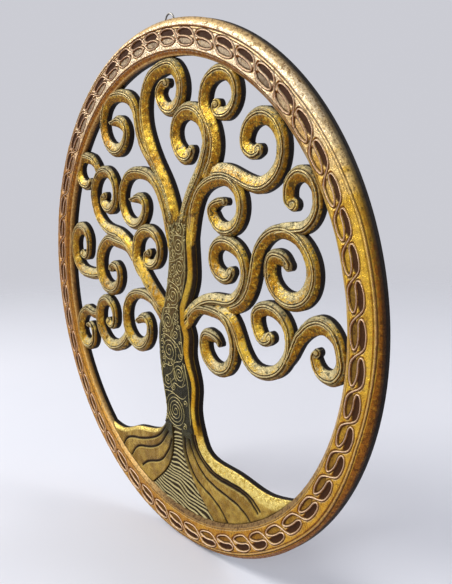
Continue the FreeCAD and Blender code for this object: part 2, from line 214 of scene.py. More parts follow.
# ---- materials ------------------------------------------------------------------------
class Nodes:
    """Short names for the shader nodes that the materials are made of."""

    def __init__(self, name):
        self.material = bpy.data.materials.new(name)
        self.material.use_nodes = True
        self.tree = self.material.node_tree
        self.shader = self.tree.nodes["Principled BSDF"]
        self.place = self.tree.nodes.new("ShaderNodeTexCoord").outputs["Object"]

    def link(self, value, socket):
        if isinstance(value, bpy.types.NodeSocket):
            self.tree.links.new(value, socket)
        else:
            socket.default_value = value

    def noise(self, scale, detail, roughness=0.55, stretch=None):
        node = self.tree.nodes.new("ShaderNodeTexNoise")
        node.inputs["Scale"].default_value = scale
        node.inputs["Detail"].default_value = detail
        node.inputs["Roughness"].default_value = roughness
        place = self.place
        if stretch:
            mapping = self.tree.nodes.new("ShaderNodeMapping")
            mapping.inputs["Scale"].default_value = stretch
            self.tree.links.new(place, mapping.inputs["Vector"])
            place = mapping.outputs["Vector"]
        self.tree.links.new(place, node.inputs["Vector"])
        return node.outputs["Fac"]

    def attribute(self, name):
        node = self.tree.nodes.new("ShaderNodeAttribute")
        node.attribute_name = name
        return node.outputs["Fac"]

    def remap(self, value, low, high, to_low=0.0, to_high=1.0):
        node = self.tree.nodes.new("ShaderNodeMapRange")
        node.interpolation_type = "SMOOTHSTEP"
        self.link(value, node.inputs["Value"])
        node.inputs["From Min"].default_value = low
        node.inputs["From Max"].default_value = high
        node.inputs["To Min"].default_value = to_low
        node.inputs["To Max"].default_value = to_high
        return node.outputs["Result"]

    def math(self, operation, first, second):
        node = self.tree.nodes.new("ShaderNodeMath")
        node.operation = operation
        self.link(first, node.inputs[0])
        self.link(second, node.inputs[1])
        return node.outputs[0]

    def mix(self, factor, first, second):
        node = self.tree.nodes.new("ShaderNodeMix")
        node.data_type = "RGBA"
        self.link(factor, node.inputs["Factor"])
        self.link(first, node.inputs[6])
        self.link(second, node.inputs[7])
        return node.outputs[2]

    def axis(self, name):
        """One coordinate of the place on the object, in metres."""
        split = self.tree.nodes.new("ShaderNodeSeparateXYZ")
        self.tree.links.new(self.place, split.inputs[0])
        return split.outputs[name]

    def facing(self):
        """How far the surface faces up and to the left, towards the light that the painted highlight and
        painted shade stand for, from -1 to 1.
        """
        geometry = self.tree.nodes.new("ShaderNodeNewGeometry")
        product = self.tree.nodes.new("ShaderNodeVectorMath")
        product.operation = "DOT_PRODUCT"
        self.tree.links.new(geometry.outputs["Normal"], product.inputs[0])
        product.inputs[1].default_value = (-0.45, 0.0, 0.89)
        return product.outputs["Value"]

    def backward(self):
        """1 on the flat back, which is bare wood in this model, and 0 elsewhere."""
        geometry = self.tree.nodes.new("ShaderNodeNewGeometry")
        split = self.tree.nodes.new("ShaderNodeSeparateXYZ")
        self.tree.links.new(geometry.outputs["Normal"], split.inputs[0])
        return self.remap(split.outputs["Y"], 0.75, 0.95)

    def bare_wood(self):
        """Brown stained board: long upright grain, broad bands and darker smudges."""
        grain = self.remap(self.noise(170, 5, 0.65, (1.0, 1.0, 0.05)), 0.38, 0.62)
        bands = self.remap(self.noise(22, 3, 0.5, (1.0, 1.0, 0.12)), 0.35, 0.65)
        smudge = self.remap(self.noise(18, 4), 0.48, 0.70, 0.0, 0.6)
        wood = self.mix(bands, rgb(0.22, 0.120, 0.055), rgb(0.34, 0.20, 0.10))
        wood = self.mix(self.math("MULTIPLY", grain, 0.65), wood, rgb(0.11, 0.055, 0.025))
        return self.mix(smudge, wood, rgb(0.07, 0.04, 0.022))

    def bump(self, height, distance, strength, below=None):
        node = self.tree.nodes.new("ShaderNodeBump")
        node.inputs["Strength"].default_value = strength
        node.inputs["Distance"].default_value = distance
        self.tree.links.new(height, node.inputs["Height"])
        if below:
            self.tree.links.new(below, node.inputs["Normal"])
        return node.outputs["Normal"]

    def finish(self, colour, roughness, metallic, normal):
        self.link(colour, self.shader.inputs["Base Color"])
        self.link(roughness, self.shader.inputs["Roughness"])
        self.link(metallic, self.shader.inputs["Metallic"])
        self.link(normal, self.shader.inputs["Normal"])
        return self.material


def rgb(red, green, blue):
    return (red, green, blue, 1.0)


# the straight sides: their own dark paint with painted shade on it
DARK_SIDES_AND_SHADE = rgb(0.009, 0.006, 0.005)              # the straight sides
LINE_BLACK = rgb(0.012, 0.006, 0.004)        # the incised lines
GREEN_STAIN = rgb(0.042, 0.037, 0.013)
LEAF = rgb(0.74, 0.37, 0.016)
BRIGHT_LEAF = rgb(0.92, 0.58, 0.06)
# painted highlight on the roots' gilded band, paler and brighter lower down
HIGHLIT_LOW_LEAF = (rgb(0.95, 0.74, 0.22), rgb(0.70, 0.46, 0.07))
HIGHLIT_LOW_LEAF_BETWEEN = (-0.150, -0.182)          # the heights where it starts and is whole, in metres


def gilded(name, deep, bright, cream, under, patina, patina_amount, metal, pocket=LINE_BLACK, has_leaf=False,
           tints=(), wear=0.3):
    """Gold leaf rubbed over a dark ground.

    It is deep in the patches, cream where it faces up as painted highlight and under where it faces down as
    painted shade, with patina over that.
    pocket is the colour of what is cut in, and each tint is an axis, where it starts and ends along that axis
    in metres, its colour and its strength. wear is how far the leaf is rubbed off.
    """
    nodes = Nodes(name)
    patches = nodes.remap(nodes.noise(34, 4), 0.40, 0.60)
    blotches = nodes.remap(nodes.noise(150, 5, 0.75), 0.54, 0.64)
    rubbed = nodes.remap(nodes.noise(230, 4, 0.8), 0.53, 0.63)
    speckle = nodes.remap(nodes.noise(620, 3, 0.75), 0.50, 0.59)
    mottle = nodes.remap(nodes.noise(270, 4, 0.8), 0.47, 0.60)
    streaks = nodes.remap(nodes.noise(120, 5, 0.7), 0.48, 0.62)
    colour = nodes.mix(patches, deep, bright)
    for axis, start, end, tint, strength in tints:
        reach = nodes.math("ADD", nodes.axis(axis), nodes.remap(patches, 0, 1, -0.02, 0.02))
        colour = nodes.mix(nodes.remap(reach, start, end, 0.0, strength), colour, tint)
    facing = nodes.math("ADD", nodes.facing(), nodes.remap(mottle, 0, 1, -0.10, 0.10))
    # painted shade: faces turned down and to the right take the under colour
    shaded = nodes.remap(facing, -0.04, -0.34)
    colour = nodes.mix(shaded, colour, under)
    # painted highlight: faces turned up and to the left take the cream colour
    painted_highlight = nodes.remap(facing, 0.04, 0.38, 0.0, 0.9)
    colour = nodes.mix(painted_highlight, colour, cream)
    # rubbed spots are wear; their cream on faces turned up and bright gold on faces turned down is painted
    # highlight
    worn_and_lit_leaf = nodes.mix(nodes.remap(facing, -0.15, 0.25), bright, cream)
    colour = nodes.mix(nodes.math("MULTIPLY", rubbed, 0.8 * wear), colour, worn_and_lit_leaf)
    if has_leaf:
        # painted highlight: the gilded band turns paler lower down
        leafed = nodes.mix(patches, LEAF, BRIGHT_LEAF)
        low = nodes.remap(nodes.axis("Z"), *HIGHLIT_LOW_LEAF_BETWEEN)
        leafed = nodes.mix(low, leafed, nodes.mix(mottle, *HIGHLIT_LOW_LEAF))
        colour = nodes.mix(nodes.attribute("gold"), colour, leafed)
        colour = nodes.mix(nodes.attribute("green"), colour, GREEN_STAIN)
    amount = nodes.math("MAXIMUM", nodes.math("MULTIPLY", speckle, 0.65), nodes.math("MULTIPLY", mottle, 0.8))
    # patina is heavier in the streaks and, as painted shade, on faces turned down and to the right
    weathered_and_shaded = nodes.remap(nodes.math("MAXIMUM", streaks, shaded), 0, 1, 0.60, 1.0)
    amount = nodes.math("MULTIPLY", amount, weathered_and_shaded)
    amount = nodes.math("MAXIMUM", amount, nodes.math("MULTIPLY", blotches, 0.95 * wear))
    amount = nodes.math("MULTIPLY", amount, patina_amount)
    # the flank layer covers with the patina colour: on the rim's bevel this is painted shade, on the branches
    # partly patina and partly painted shade
    flank = nodes.math("MULTIPLY", nodes.attribute("flank"), nodes.remap(mottle, 0, 1, 0.38, 1.0))
    covering = nodes.math("MAXIMUM", amount, flank)
    colour = nodes.mix(covering, colour, patina)
    # the ridge layer turns cream: rubbed gilt on raised edges together with painted highlight along them
    worn_and_highlit = nodes.math("MULTIPLY", nodes.attribute("ridge"), nodes.remap(mottle, 0, 1, 0.9, 0.45))
    colour = nodes.mix(worn_and_highlit, colour, cream)
    dark = nodes.attribute("dark")
    colour = nodes.mix(dark, colour, pocket)
    wall = nodes.attribute("wall")
    colour = nodes.mix(wall, colour, DARK_SIDES_AND_SHADE)
    colour = nodes.mix(nodes.backward(), colour, nodes.bare_wood())
    covered = nodes.math("MAXIMUM", nodes.math("MAXIMUM", dark, wall), nodes.math("MULTIPLY", covering, 0.8))
    dullness = nodes.math("ADD", nodes.math("MULTIPLY", streaks, 0.3), nodes.math("MULTIPLY", covered, 0.7))
    roughness = nodes.remap(dullness, 0, 1, 0.27, 0.68)
    metallic = nodes.remap(covered, 0.1, 0.9, metal, 0.0)
    metallic = nodes.math("MULTIPLY", metallic, nodes.remap(painted_highlight, 0, 0.9, 1.0, 0.45))
    if has_leaf:
        metallic = nodes.math("MAXIMUM", metallic, nodes.math("MULTIPLY", nodes.attribute("gold"), 0.7))
    grain = nodes.bump(nodes.noise(1000, 2), 0.0006, 0.9)
    normal = nodes.bump(nodes.noise(200, 4, 0.65), 0.0010, 0.6, grain)
    nodes.shader.inputs["Specular IOR Level"].default_value = 0.08
    return nodes.finish(colour, roughness, metallic, normal)


def steel():
    """Dull plated steel, scratched one way and stained."""
    nodes = Nodes("hanger_steel_worn")
    scratches = nodes.noise(700, 3, 0.6, (1.0, 1.0, 8.0))
    stain = nodes.remap(nodes.noise(140, 4), 0.45, 0.7)
    colour = nodes.mix(stain, rgb(0.30, 0.29, 0.27), rgb(0.12, 0.10, 0.085))
    roughness = nodes.remap(scratches, 0.3, 0.7, 0.28, 0.5)
    normal = nodes.bump(scratches, 0.0001, 0.4)
    return nodes.finish(colour, roughness, 1.0, normal)


GOLD = gilded(
    "branch_gold", deep=rgb(0.50, 0.245, 0.016), bright=rgb(0.92, 0.58, 0.060), cream=rgb(0.60, 0.52, 0.285),
    under=rgb(0.34, 0.135, 0.006), patina=rgb(0.019, 0.021, 0.008), patina_amount=1.0, metal=0.5, wear=1.0)
RIM_GOLD = gilded(
    "rim_gold", deep=rgb(0.50, 0.20, 0.013), bright=rgb(0.86, 0.48, 0.048), cream=rgb(0.84, 0.56, 0.22),
    under=rgb(0.38, 0.13, 0.014), patina=rgb(0.062, 0.018, 0.004), patina_amount=0.95, metal=0.6,
    pocket=rgb(0.040, 0.014, 0.006), wear=0.6,
    # painted highlight and painted shade by side: paler at the top and yellower to the right, darker copper
    # to the left and orange lower down
    tints=[
        ("X", 0.08, 0.26, rgb(0.92, 0.60, 0.06), 0.6), ("X", 0.0, -0.22, rgb(0.62, 0.25, 0.075), 0.65),
        ("Z", 0.02, -0.14, rgb(0.66, 0.31, 0.025), 0.6), ("Z", 0.10, 0.24, rgb(0.97, 0.82, 0.58), 0.92)])
ROOT_GOLD = gilded(
    "root_gold", deep=rgb(0.30, 0.165, 0.022), bright=rgb(0.52, 0.33, 0.058), cream=rgb(0.60, 0.45, 0.13),
    under=rgb(0.17, 0.085, 0.010), patina=rgb(0.050, 0.034, 0.008), patina_amount=0.6, metal=0.5,
    has_leaf=True)
PATINA = gilded(
    "trunk_dark", deep=rgb(0.015, 0.012, 0.004), bright=rgb(0.030, 0.024, 0.007),
    cream=rgb(0.045, 0.037, 0.014), under=rgb(0.02, 0.018, 0.008), patina=rgb(0.010, 0.010, 0.004),
    patina_amount=0.7, metal=0.15, has_leaf=True, tints=[("Z", -0.085, 0.0, rgb(0.15, 0.085, 0.018), 0.8)])
MOUND_DARK = gilded(
    "mound_dark", deep=rgb(0.036, 0.024, 0.007), bright=rgb(0.066, 0.044, 0.012), cream=rgb(0.50, 0.42, 0.20),
    under=rgb(0.03, 0.024, 0.010), patina=rgb(0.014, 0.012, 0.005), patina_amount=0.4, metal=0.2)
TRUNK_LINE = gilded(
    "trunk_raised_line", deep=rgb(0.34, 0.25, 0.085), bright=rgb(0.50, 0.39, 0.13),
    cream=rgb(0.58, 0.50, 0.25), under=rgb(0.18, 0.14, 0.045), patina=rgb(0.08, 0.07, 0.025),
    patina_amount=0.5, metal=0.4)
RIM_LINE = gilded(
    "rim_raised_line", deep=rgb(0.50, 0.25, 0.11), bright=rgb(0.78, 0.50, 0.27), cream=rgb(0.84, 0.61, 0.43),
    under=rgb(0.30, 0.13, 0.06), patina=rgb(0.11, 0.045, 0.02), patina_amount=0.5, metal=0.4)
STEEL = steel()

# ---- branches ------------------------------------------------------------------------
# The same lines as the solids. stem: points (x, z) from the parent to the coil; centre, start
# angle, turn (1 counter-clockwise, -1 clockwise) and radii after every quarter turn of the coil;
# widths: at the root, where the coil begins and after every quarter turn; tip: the last
# points (x, z, width), after which the branch ends in a round head.
BRANCHES = {
    "scroll_left_crown": dict(
        stem=[(2, 84), (-11, 120), (-30, 148), (-45, 175), (-52, 200), (-48, 228), (-32, 246)],
        centre=(2, 226), start=90, turn=-1, radii=[27.5, 21, 19, 20.5],
        widths=[20, 17, 19, 16, 13], tip=[(-12.5, 234.5, 12), (-5, 236, 10)]),
    "scroll_left_upper": dict(
        stem=[(-36, 146), (-57, 168), (-67, 190), (-72, 212), (-84, 226)],
        centre=(-114, 194), start=75, turn=1, radii=[38.5, 35.5, 28, 19],
        widths=[14, 16, 13, 17, 14],
        tip=[(-103, 198, 16), (-114, 201.5, 15), (-124.5, 200.5, 9), (-130, 200, 5)]),
    "scroll_left_inner_upper": dict(
        stem=[(-2, 34), (-9, 60), (-16, 88), (-28, 116), (-48, 135)],
        centre=(-84, 105), start=80, turn=1, radii=[35, 28.5, 27.5, 23.5],
        widths=[15, 15, 12, 14, 14],
        tip=[(-65.5, 107.5, 14), (-75, 109.5, 14), (-85, 108, 9), (-91, 107, 5)]),
    "scroll_left_long_branch": dict(
        stem=[(-26, -22), (-55, 2), (-80, 28), (-102, 50), (-126, 63), (-152, 68), (-174, 82)],
        centre=(-149, 113), start=190, turn=-1, radii=[36.5, 29, 20.5, 18.5],
        widths=[22, 13, 15, 13, 16], tip=[(-156.5, 98, 15), (-161.5, 105, 13), (-158, 110.5, 9)]),
    "scroll_left_inner_middle": dict(
        stem=[(-68, 12), (-84, 28)],
        centre=(-55, 50), start=190, turn=-1, radii=[31.5, 21.5, 21.5, 19.5],
        widths=[14, 17, 16, 13, 13], tip=[(-60.5, 33, 13), (-62.5, 40, 12), (-57, 45, 9)]),
    "scroll_left_outer_middle": dict(
        stem=[(-94, 36), (-108, 48)],
        centre=(-150, 17), start=60, turn=1, radii=[41, 31.5, 29, 22],
        widths=[14, 15, 18, 20, 13],
        tip=[(-131.5, 15.5, 13), (-139, 21.5, 13), (-147.5, 20.5, 11), (-151, 16.5, 8)]),
    "scroll_left_rim_middle": dict(
        stem=[(-176, 9), (-195, 5)],
        centre=(-223, 38), start=285, turn=-1, radii=[34.5, 27, 28, 13.5],
        widths=[15, 16, 18, 18, 12], tip=[(-213.5, 31, 12), (-221, 27.5, 11), (-229, 31, 9)]),
    "scroll_left_bud_upper": dict(
        stem=[(-170, 142), (-182, 155)],
        centre=(-203, 141), start=70, turn=1, radii=[19.5, 20, 17.5],
        widths=[13, 15, 13, 15], tip=[(-201, 124.5, 12), (-195, 128.5, 9)]),
    "scroll_left_inner_lower": dict(
        stem=[(-28, -40), (-46, -19), (-66, -9)],
        centre=(-88, -45), start=85, turn=1, radii=[37, 31, 29.5, 24],
        widths=[14, 13, 15, 18, 13],
        tip=[(-69, -38.8, 14), (-77, -37.8, 14), (-86.5, -41, 10), (-91, -44, 6)]),
    "scroll_left_outer_lower": dict(
        stem=[(-114, -58), (-127, -76)],
        centre=(-165, -48), start=280, turn=-1, radii=[40, 26, 21, 16],
        widths=[16, 16, 19, 15, 12], tip=[(-151.5, -56, 11), (-159.5, -60.5, 11), (-166, -55, 9)]),
    "scroll_left_rim_lower": dict(
        stem=[(-190, -50)],
        centre=(-223, -76), start=60, turn=1, radii=[28.5, 25, 24.5, 14],
        widths=[14, 14, 17, 18, 12], tip=[(-212.5, -73, 11), (-219, -69, 10), (-226, -71, 7)]),
    "scroll_right_crown": dict(
        stem=[(16, 88), (33, 118), (51, 140), (61, 157)],
        centre=(34, 179), start=-20, turn=1, radii=[33, 25, 26, 24],
        widths=[15, 16, 20, 16, 20], tip=[(33, 158, 16), (37, 162, 11)]),
    "scroll_right_inner_upper": dict(
        stem=[(25, 48), (32, 78), (43, 107), (60, 125)],
        centre=(92, 103), start=100, turn=-1, radii=[29.5, 27, 22.5, 22],
        widths=[19, 14, 16, 16, 14], tip=[(73.5, 104.5, 12), (82, 108.5, 10), (92.5, 109, 8)]),
    "scroll_right_outer_upper": dict(
        stem=[(66, 138), (95, 140), (118, 133), (137, 127)],
        centre=(150, 166), start=270, turn=1, radii=[39.5, 30, 25, 22.5],
        widths=[16, 17, 16, 18, 15], tip=[(132, 160, 15), (139.5, 157.5, 15), (146.5, 159.5, 12)]),
    "scroll_right_upper": dict(
        stem=[(60, 132), (75, 150), (80, 170), (73, 190), (64, 203)],
        centre=(93, 216), start=190, turn=-1, radii=[31, 21.5, 22.5, 20],
        widths=[16, 17, 17, 14, 14], tip=[(85.5, 199.5, 13), (84, 206, 12.5)]),
    "scroll_right_inner_middle": dict(
        stem=[(6, -27), (20, -18), (45, -2), (72, 5), (98, 7), (115, 20)],
        centre=(93, 47), start=-20, turn=1, radii=[30.5, 20, 23.5, 17],
        widths=[14, 14, 17, 15, 17], tip=[(94, 32.5, 15), (99, 37, 11)]),
    "scroll_right_outer_middle": dict(
        stem=[(92, -3), (116, 6), (131, 24), (138, 46)],
        centre=(183, 46), start=155, turn=-1, radii=[42.5, 36, 34, 25, 22.5],
        widths=[14, 15, 14, 19, 18, 17], tip=[(169, 59, 16), (178, 57.5, 15), (185, 51.5, 10)]),
    "scroll_right_rim_upper": dict(
        stem=[(160, 80), (182, 86)],
        centre=(204, 118), start=270, turn=1, radii=[30, 20, 19, 16.5],
        widths=[12, 13, 12, 16, 14], tip=[(189.3, 112, 13.5), (193.5, 108.8, 12.5)]),
    "scroll_right_inner_lower": dict(
        stem=[(8, -38), (20, -27), (38, -11)],
        centre=(72, -44), start=105, turn=-1, radii=[36.5, 28, 29, 24.5],
        widths=[14, 13, 13, 16, 17],
        tip=[(52, -38.5, 16), (61.5, -36.5, 14), (70.5, -39, 11), (75, -43.5, 7)]),
    "scroll_right_outer_lower": dict(
        stem=[(72, -4), (98, -12), (110, -30), (120, -48)],
        centre=(159, -12), start=245, turn=1, radii=[53, 29.5, 19, 23],
        widths=[14, 15, 13, 15, 15], tip=[(143, -22, 15), (150.5, -25.5, 15), (157.5, -22.5, 12)]),
    "scroll_right_rim_lower": dict(
        stem=[(175, -51), (189, -34), (201, -14)],
        centre=(234, -24), start=110, turn=-1, radii=[27, 17.5, 22.5, 15.5],
        widths=[7, 19, 12, 16, 10], tip=[(222, -25, 8)]),
}
STEPS_PER_QUARTER = 3
BRANCH_STEP = 0.75           # distance between sections
RIDGE_PLACE = 0.34           # from the middle towards the outside of the coil, as a share of the half width
EDGE_HEIGHT = 7.6            # where a branch's carved face meets its straight side
TIGHTEST_SHARE = 0.8         # of the bend radius: a branch reaches no further to the inside
BACK_STEP = 0.03             # between the flat backs of one branch and the next
EDGE_DROP = 0.6              # the outer flank starts this far below the edge height
BEAD_HALF = 0.75             # the raised bead along the ridge
LINE_PLACE = 1.4             # the incised line on each side of the bead
LINE_HALF = 0.85
LINE_DEPTH = 0.9
FLANK_LINE_HALF = 0.55       # the fainter line down the outer flank
FLANK_LINE_DEPTH = 0.45
HEAD_RIDGE = 0.56            # where the ridge is at the head, as a share of the half width
HEAD_TURNS = 1.55            # of the small spiral on the head


def between_quarters(values, place):
    """A smooth value between the ones listed for every quarter turn."""
    last = len(values) - 1
    index = min(int(place), last - 1)
    before = values[index - 1] if index > 0 else 2 * values[0] - values[1]
    after = values[index + 2] if index + 2 <= last else 2 * values[last] - values[last - 1]
    return catmull_rom(before, values[index], values[index + 1], after, place - index)


def branch_line(branch):
    """Points along a branch: its stem, its coil and its tip."""
    points = list(branch["stem"])
    middle_x, middle_z = branch["centre"]
    for step in range((len(branch["radii"]) - 1) * STEPS_PER_QUARTER + 1):
        quarter = step / STEPS_PER_QUARTER
        angle = math.radians(branch["start"] + branch["turn"] * 90 * quarter)
        radius = between_quarters(branch["radii"], quarter)
        points.append((middle_x + radius * math.cos(angle), middle_z + radius * math.sin(angle)))
    return points + [(x, z) for x, z, width in branch["tip"]]


def soften(values, reach):
    """Running average of a row of numbers."""
    padded = np.r_[np.full(reach, values[0]), values, np.full(reach, values[-1])]
    return np.convolve(padded, np.ones(2 * reach + 1) / (2 * reach + 1), "valid")


def branch_halves(branch, along, knots, tangent):
    """Half widths to the outside and to the inside of the coil, at each place along the branch."""
    first = len(branch["stem"])
    last = len(knots) - len(branch["tip"])
    marks = [0] + list(range(first, last, STEPS_PER_QUARTER)) + list(range(last, len(knots)))
    widths = list(branch["widths"]) + [width for x, z, width in branch["tip"]]
    outside = soften(np.interp(along, knots[marks], widths) / 2, 6)
    heading = np.unwrap(np.arctan2(tangent[:, 1], tangent[:, 0]))
    bend = soften(np.abs(np.gradient(heading, along)), 3)
    inside_half = np.minimum(outside, TIGHTEST_SHARE / np.maximum(bend, 0.001))
    return outside, soften(inside_half, 3)


def hook_line(centre, across, forward, half):
    """The small spiral on a branch's head: the ridge line goes round the nose and winds in."""
    turn = np.linspace(0.0, HEAD_TURNS * math.tau, 90)
    radius = half * (HEAD_RIDGE - 0.50 * (turn / turn[-1]) ** 0.8)
    return centre + radius[:, None] * (np.cos(turn)[:, None] * across + np.sin(turn)[:, None] * forward)


def make_branch(name, branch, order):
    """A band with upright walls whose carved face rises to a beaded ridge, and its round head."""
    seed = 100 + 10 * order
    place, tangent, length, knots = curve_through(branch_line(branch), BRANCH_STEP)
    along = np.linspace(0, length, len(place))
    outside, inner = branch_halves(branch, along, knots, tangent)
    outside = outside * (1 + 0.02 * drift(along, seed, length * 1.3))
    # the round head beyond the last point
    head = 0.5 * (outside[-1] + inner[-1])
    lean = np.radians(np.linspace(0, 86, 12))[1:]
    place = np.vstack([place, place[-1] + tangent[-1] * head * np.sin(lean)[:, None]])
    tangent = np.vstack([tangent, np.tile(tangent[-1], (len(lean), 1))])
    along = np.r_[along, length + head * np.sin(lean)]
    round_end = np.r_[np.ones(len(outside)), np.cos(lean)]
    outside = np.r_[outside, outside[-1] * np.cos(lean)]
    inner = np.r_[inner, inner[-1] * np.cos(lean)]
    rows = len(place)
    across = np.stack([-tangent[:, 1], tangent[:, 0]], 1) * -branch["turn"]
    # section from the outer side wall over the carved face to the inner side wall; side runs
    # from 1 at the outside of the coil to -1 at its inside
    outer_part = np.r_[1.0, 0.985, np.linspace(0.94, 0.74, 5)]
    inner_part = np.r_[np.linspace(-0.10, -0.93, 13), -0.985, -1.0]
    face = np.r_[outer_part, np.linspace(0.69, -0.03, 21), inner_part]
    side = np.r_[1.0, 1.0, 1.0, face, -1.0, -1.0, -1.0, -0.5, 0.0, 0.5]
    columns = len(side)
    side_grid = np.tile(side, (rows, 1))
    reach = np.where(side_grid > 0, outside[:, None], inner[:, None])
    x = place[:, 0, None] + across[:, 0, None] * side_grid * reach
    z = place[:, 1, None] + across[:, 1, None] * side_grid * reach
    # the ridge moves to the outside before the head, so that its line can wind into a spiral
    before_head = smooth_step(2.6 * head, 0.4 * head, length - along)
    ridge = RIDGE_PLACE + 0.03 * drift(along, seed + 1, length) + (HEAD_RIDGE - RIDGE_PLACE) * before_head
    crest = BRANCH_HEIGHT - 0.2 + 0.25 * drift(along, seed + 2, length)
    crest = EDGE_HEIGHT + 0.6 + (crest - EDGE_HEIGHT - 0.6) * (0.25 + 0.75 * smooth_step(0, 16, along))
    crest = crest - 0.9 * smooth_step(18, 0, length - along)
    edge = EDGE_HEIGHT + 0.3 * drift(along, seed + 3, length)
    crest = edge + (crest - edge) * round_end**0.7
    crest, edge, ridge = crest[:, None], edge[:, None], ridge[:, None]
    outer_share = np.clip((1 - side_grid) / (1 - ridge), 0, 1)
    inner_share = np.clip((side_grid + 1) / (ridge + 1), 0, 1)
    height = np.where(
        side_grid > ridge,
        edge - EDGE_DROP + (crest - edge + EDGE_DROP) * np.sin(outer_share * math.pi / 2) ** 0.8,
        edge + (crest - edge) * (1 - (1 - inner_share) ** 1.7))
    # one raised bead along the ridge between two incised lines, ending in the head's spiral
    last = len(place) - len(lean)
    ridge_line = (place + across * (ridge[:, 0] * outside)[:, None])[:last]
    hook = hook_line(place[last - 1], across[-1], tangent[-1], head)
    ridge_line = np.vstack([ridge_line, hook])
    fine = curve_through(ridge_line[::3], 0.35)[0]
    away = distance_to(np.stack([x.ravel(), z.ravel()], 1), fine)[0].reshape(x.shape)
    fade = smooth_step(3.0, 12.0, along)[:, None]
    bead = dimple(away, BEAD_HALF) * fade
    line = dimple(away - LINE_PLACE, LINE_HALF) * fade
    height = height - LINE_DEPTH * line + 0.15 * bead
    # a fainter line halfway down the outer flank
    from_flank_middle = (side_grid - 0.5 * (1 + ridge)) * outside[:, None]
    flank_line = dimple(from_flank_middle, FLANK_LINE_HALF) * fade * (1 - before_head[:, None])
    height = height - FLANK_LINE_DEPTH * flank_line
    height += 0.14 * waves(x, z, seed + 5, 8.0) + 0.06 * waves(x, z, seed + 6, 3.0)
    height = sink_in_trunk(x, z, along, height)
    # overlapping branches have their flat backs a hair apart, so that no two faces coincide
    back = BACK_STEP * (1 + order)
    height[:, :3] = back + (edge - back) * WALL_SHARES
    height[:, 3] = np.minimum(height[:, 3], edge[:, 0] - 0.5)
    height[:, -7] = np.minimum(height[:, -7], edge[:, 0] - 0.5)
    height[:, -6:-3] = back + (edge - back) * WALL_SHARES[::-1]
    height[:, -3:] = back
    is_wall = np.zeros((rows, columns))
    is_wall[:, :3] = 1
    is_wall[:, -6:] = 1
    is_wall[:, 3] = 0.8
    is_wall[:, -7] = 0.8
    carved = 1 - is_wall
    dark = np.clip(line + flank_line * 0.6, 0, 1) * carved
    # the bead and pale strips just outside the incised lines: rubbed gilt with painted highlight
    bright = np.clip(bead * 0.95 + dimple(away - 2.4, 1.2) * 0.35, 0, 1) * carved
    # patina colour over the outer flank, the inner edge, the edges by the walls and the head: partly patina,
    # partly painted shade
    flank = 0.7 * smooth_step(ridge + 0.12, ridge + 0.35, side_grid)
    flank = np.maximum(flank, 0.75 * smooth_step(-0.62, -1.0, side_grid))
    flank = np.maximum(flank, smooth_step(0.74, 0.96, np.abs(side_grid)))
    flank = np.maximum(flank, 0.7 * smooth_step(3.2 * head, 0.8 * head, length - along)[:, None]) * carved
    points = to_world(x, height, z).reshape(-1, 3)
    layers = {"dark": dark, "wall": is_wall, "ridge": bright, "flank": flank}
    faces = tube_faces(rows, columns)
    make_object(name + "_carved", points, faces, layers, GOLD, name)


def sink_in_trunk(x, z, along, height):
    """Keeps a branch's root under the trunk's face where the two overlap."""
    near = np.flatnonzero(along < 50)
    points = np.stack([x[near].ravel(), z[near].ravel()], 1)
    outline = trunk_outline()
    away = distance_to(points, outline)[0]
    away = np.where(inside(points, outline), -away, away).reshape(len(near), -1)
    free = smooth_step(-0.5, 5.0, away)
    result = height.copy()
    under = np.minimum(height[near], TRUNK_HEIGHT - 1.6)
    result[near] = under + (height[near] - under) * free
    return result


# ---- flat-backed carved slabs: trunk and roots ------------------------------------------
def distance_to(points, line):
    """Distance from each point to a finely sampled line, and the number of the line's nearest point."""
    tree = KDTree(len(line))
    for index, (x, z) in enumerate(line):
        tree.insert((x, 0, z), index)
    tree.balance()
    found = [tree.find((x, 0, z)) for x, z in points]
    return np.array([f[2] for f in found]), np.array([f[1] for f in found])


def fill_outline(outline, spacing):
    """Triangles over the inside of a closed outline, with a fine regular grid of points in it."""
    outline = np.asarray(outline)
    low, high = outline.min(0), outline.max(0)
    xs = np.arange(low[0], high[0], spacing)
    zs = np.arange(low[1], high[1], spacing * 0.866)
    grid_x, grid_z = np.meshgrid(xs, zs)
    grid_x = grid_x + (np.arange(len(zs)) % 2)[:, None] * spacing / 2
    grid = np.stack([grid_x.ravel(), grid_z.ravel()], 1)
    grid = grid[inside(grid, outline)]
    grid = grid[distance_to(grid, outline)[0] > spacing * 0.55]
    every = np.vstack([outline, grid])
    result = delaunay_2d_cdt([Vector(p) for p in every], [], [list(range(len(outline)))], 1, 1e-5)
    vertices = np.array([tuple(v) for v in result[0]])
    return vertices, [list(f) for f in result[2]]


def inside(points, outline):
    """Even-odd test of points against a closed outline."""
    x, z = points[:, 0], points[:, 1]
    result = np.zeros(len(points), bool)
    before = np.roll(outline, 1, axis=0)
    for (ax, az), (bx, bz) in zip(outline, before):
        crosses = (az > z) != (bz > z)
        with np.errstate(divide="ignore", invalid="ignore"):
            at = (bx - ax) * (z - az) / (bz - az) + ax
        result ^= crosses & (x < at)
    return result


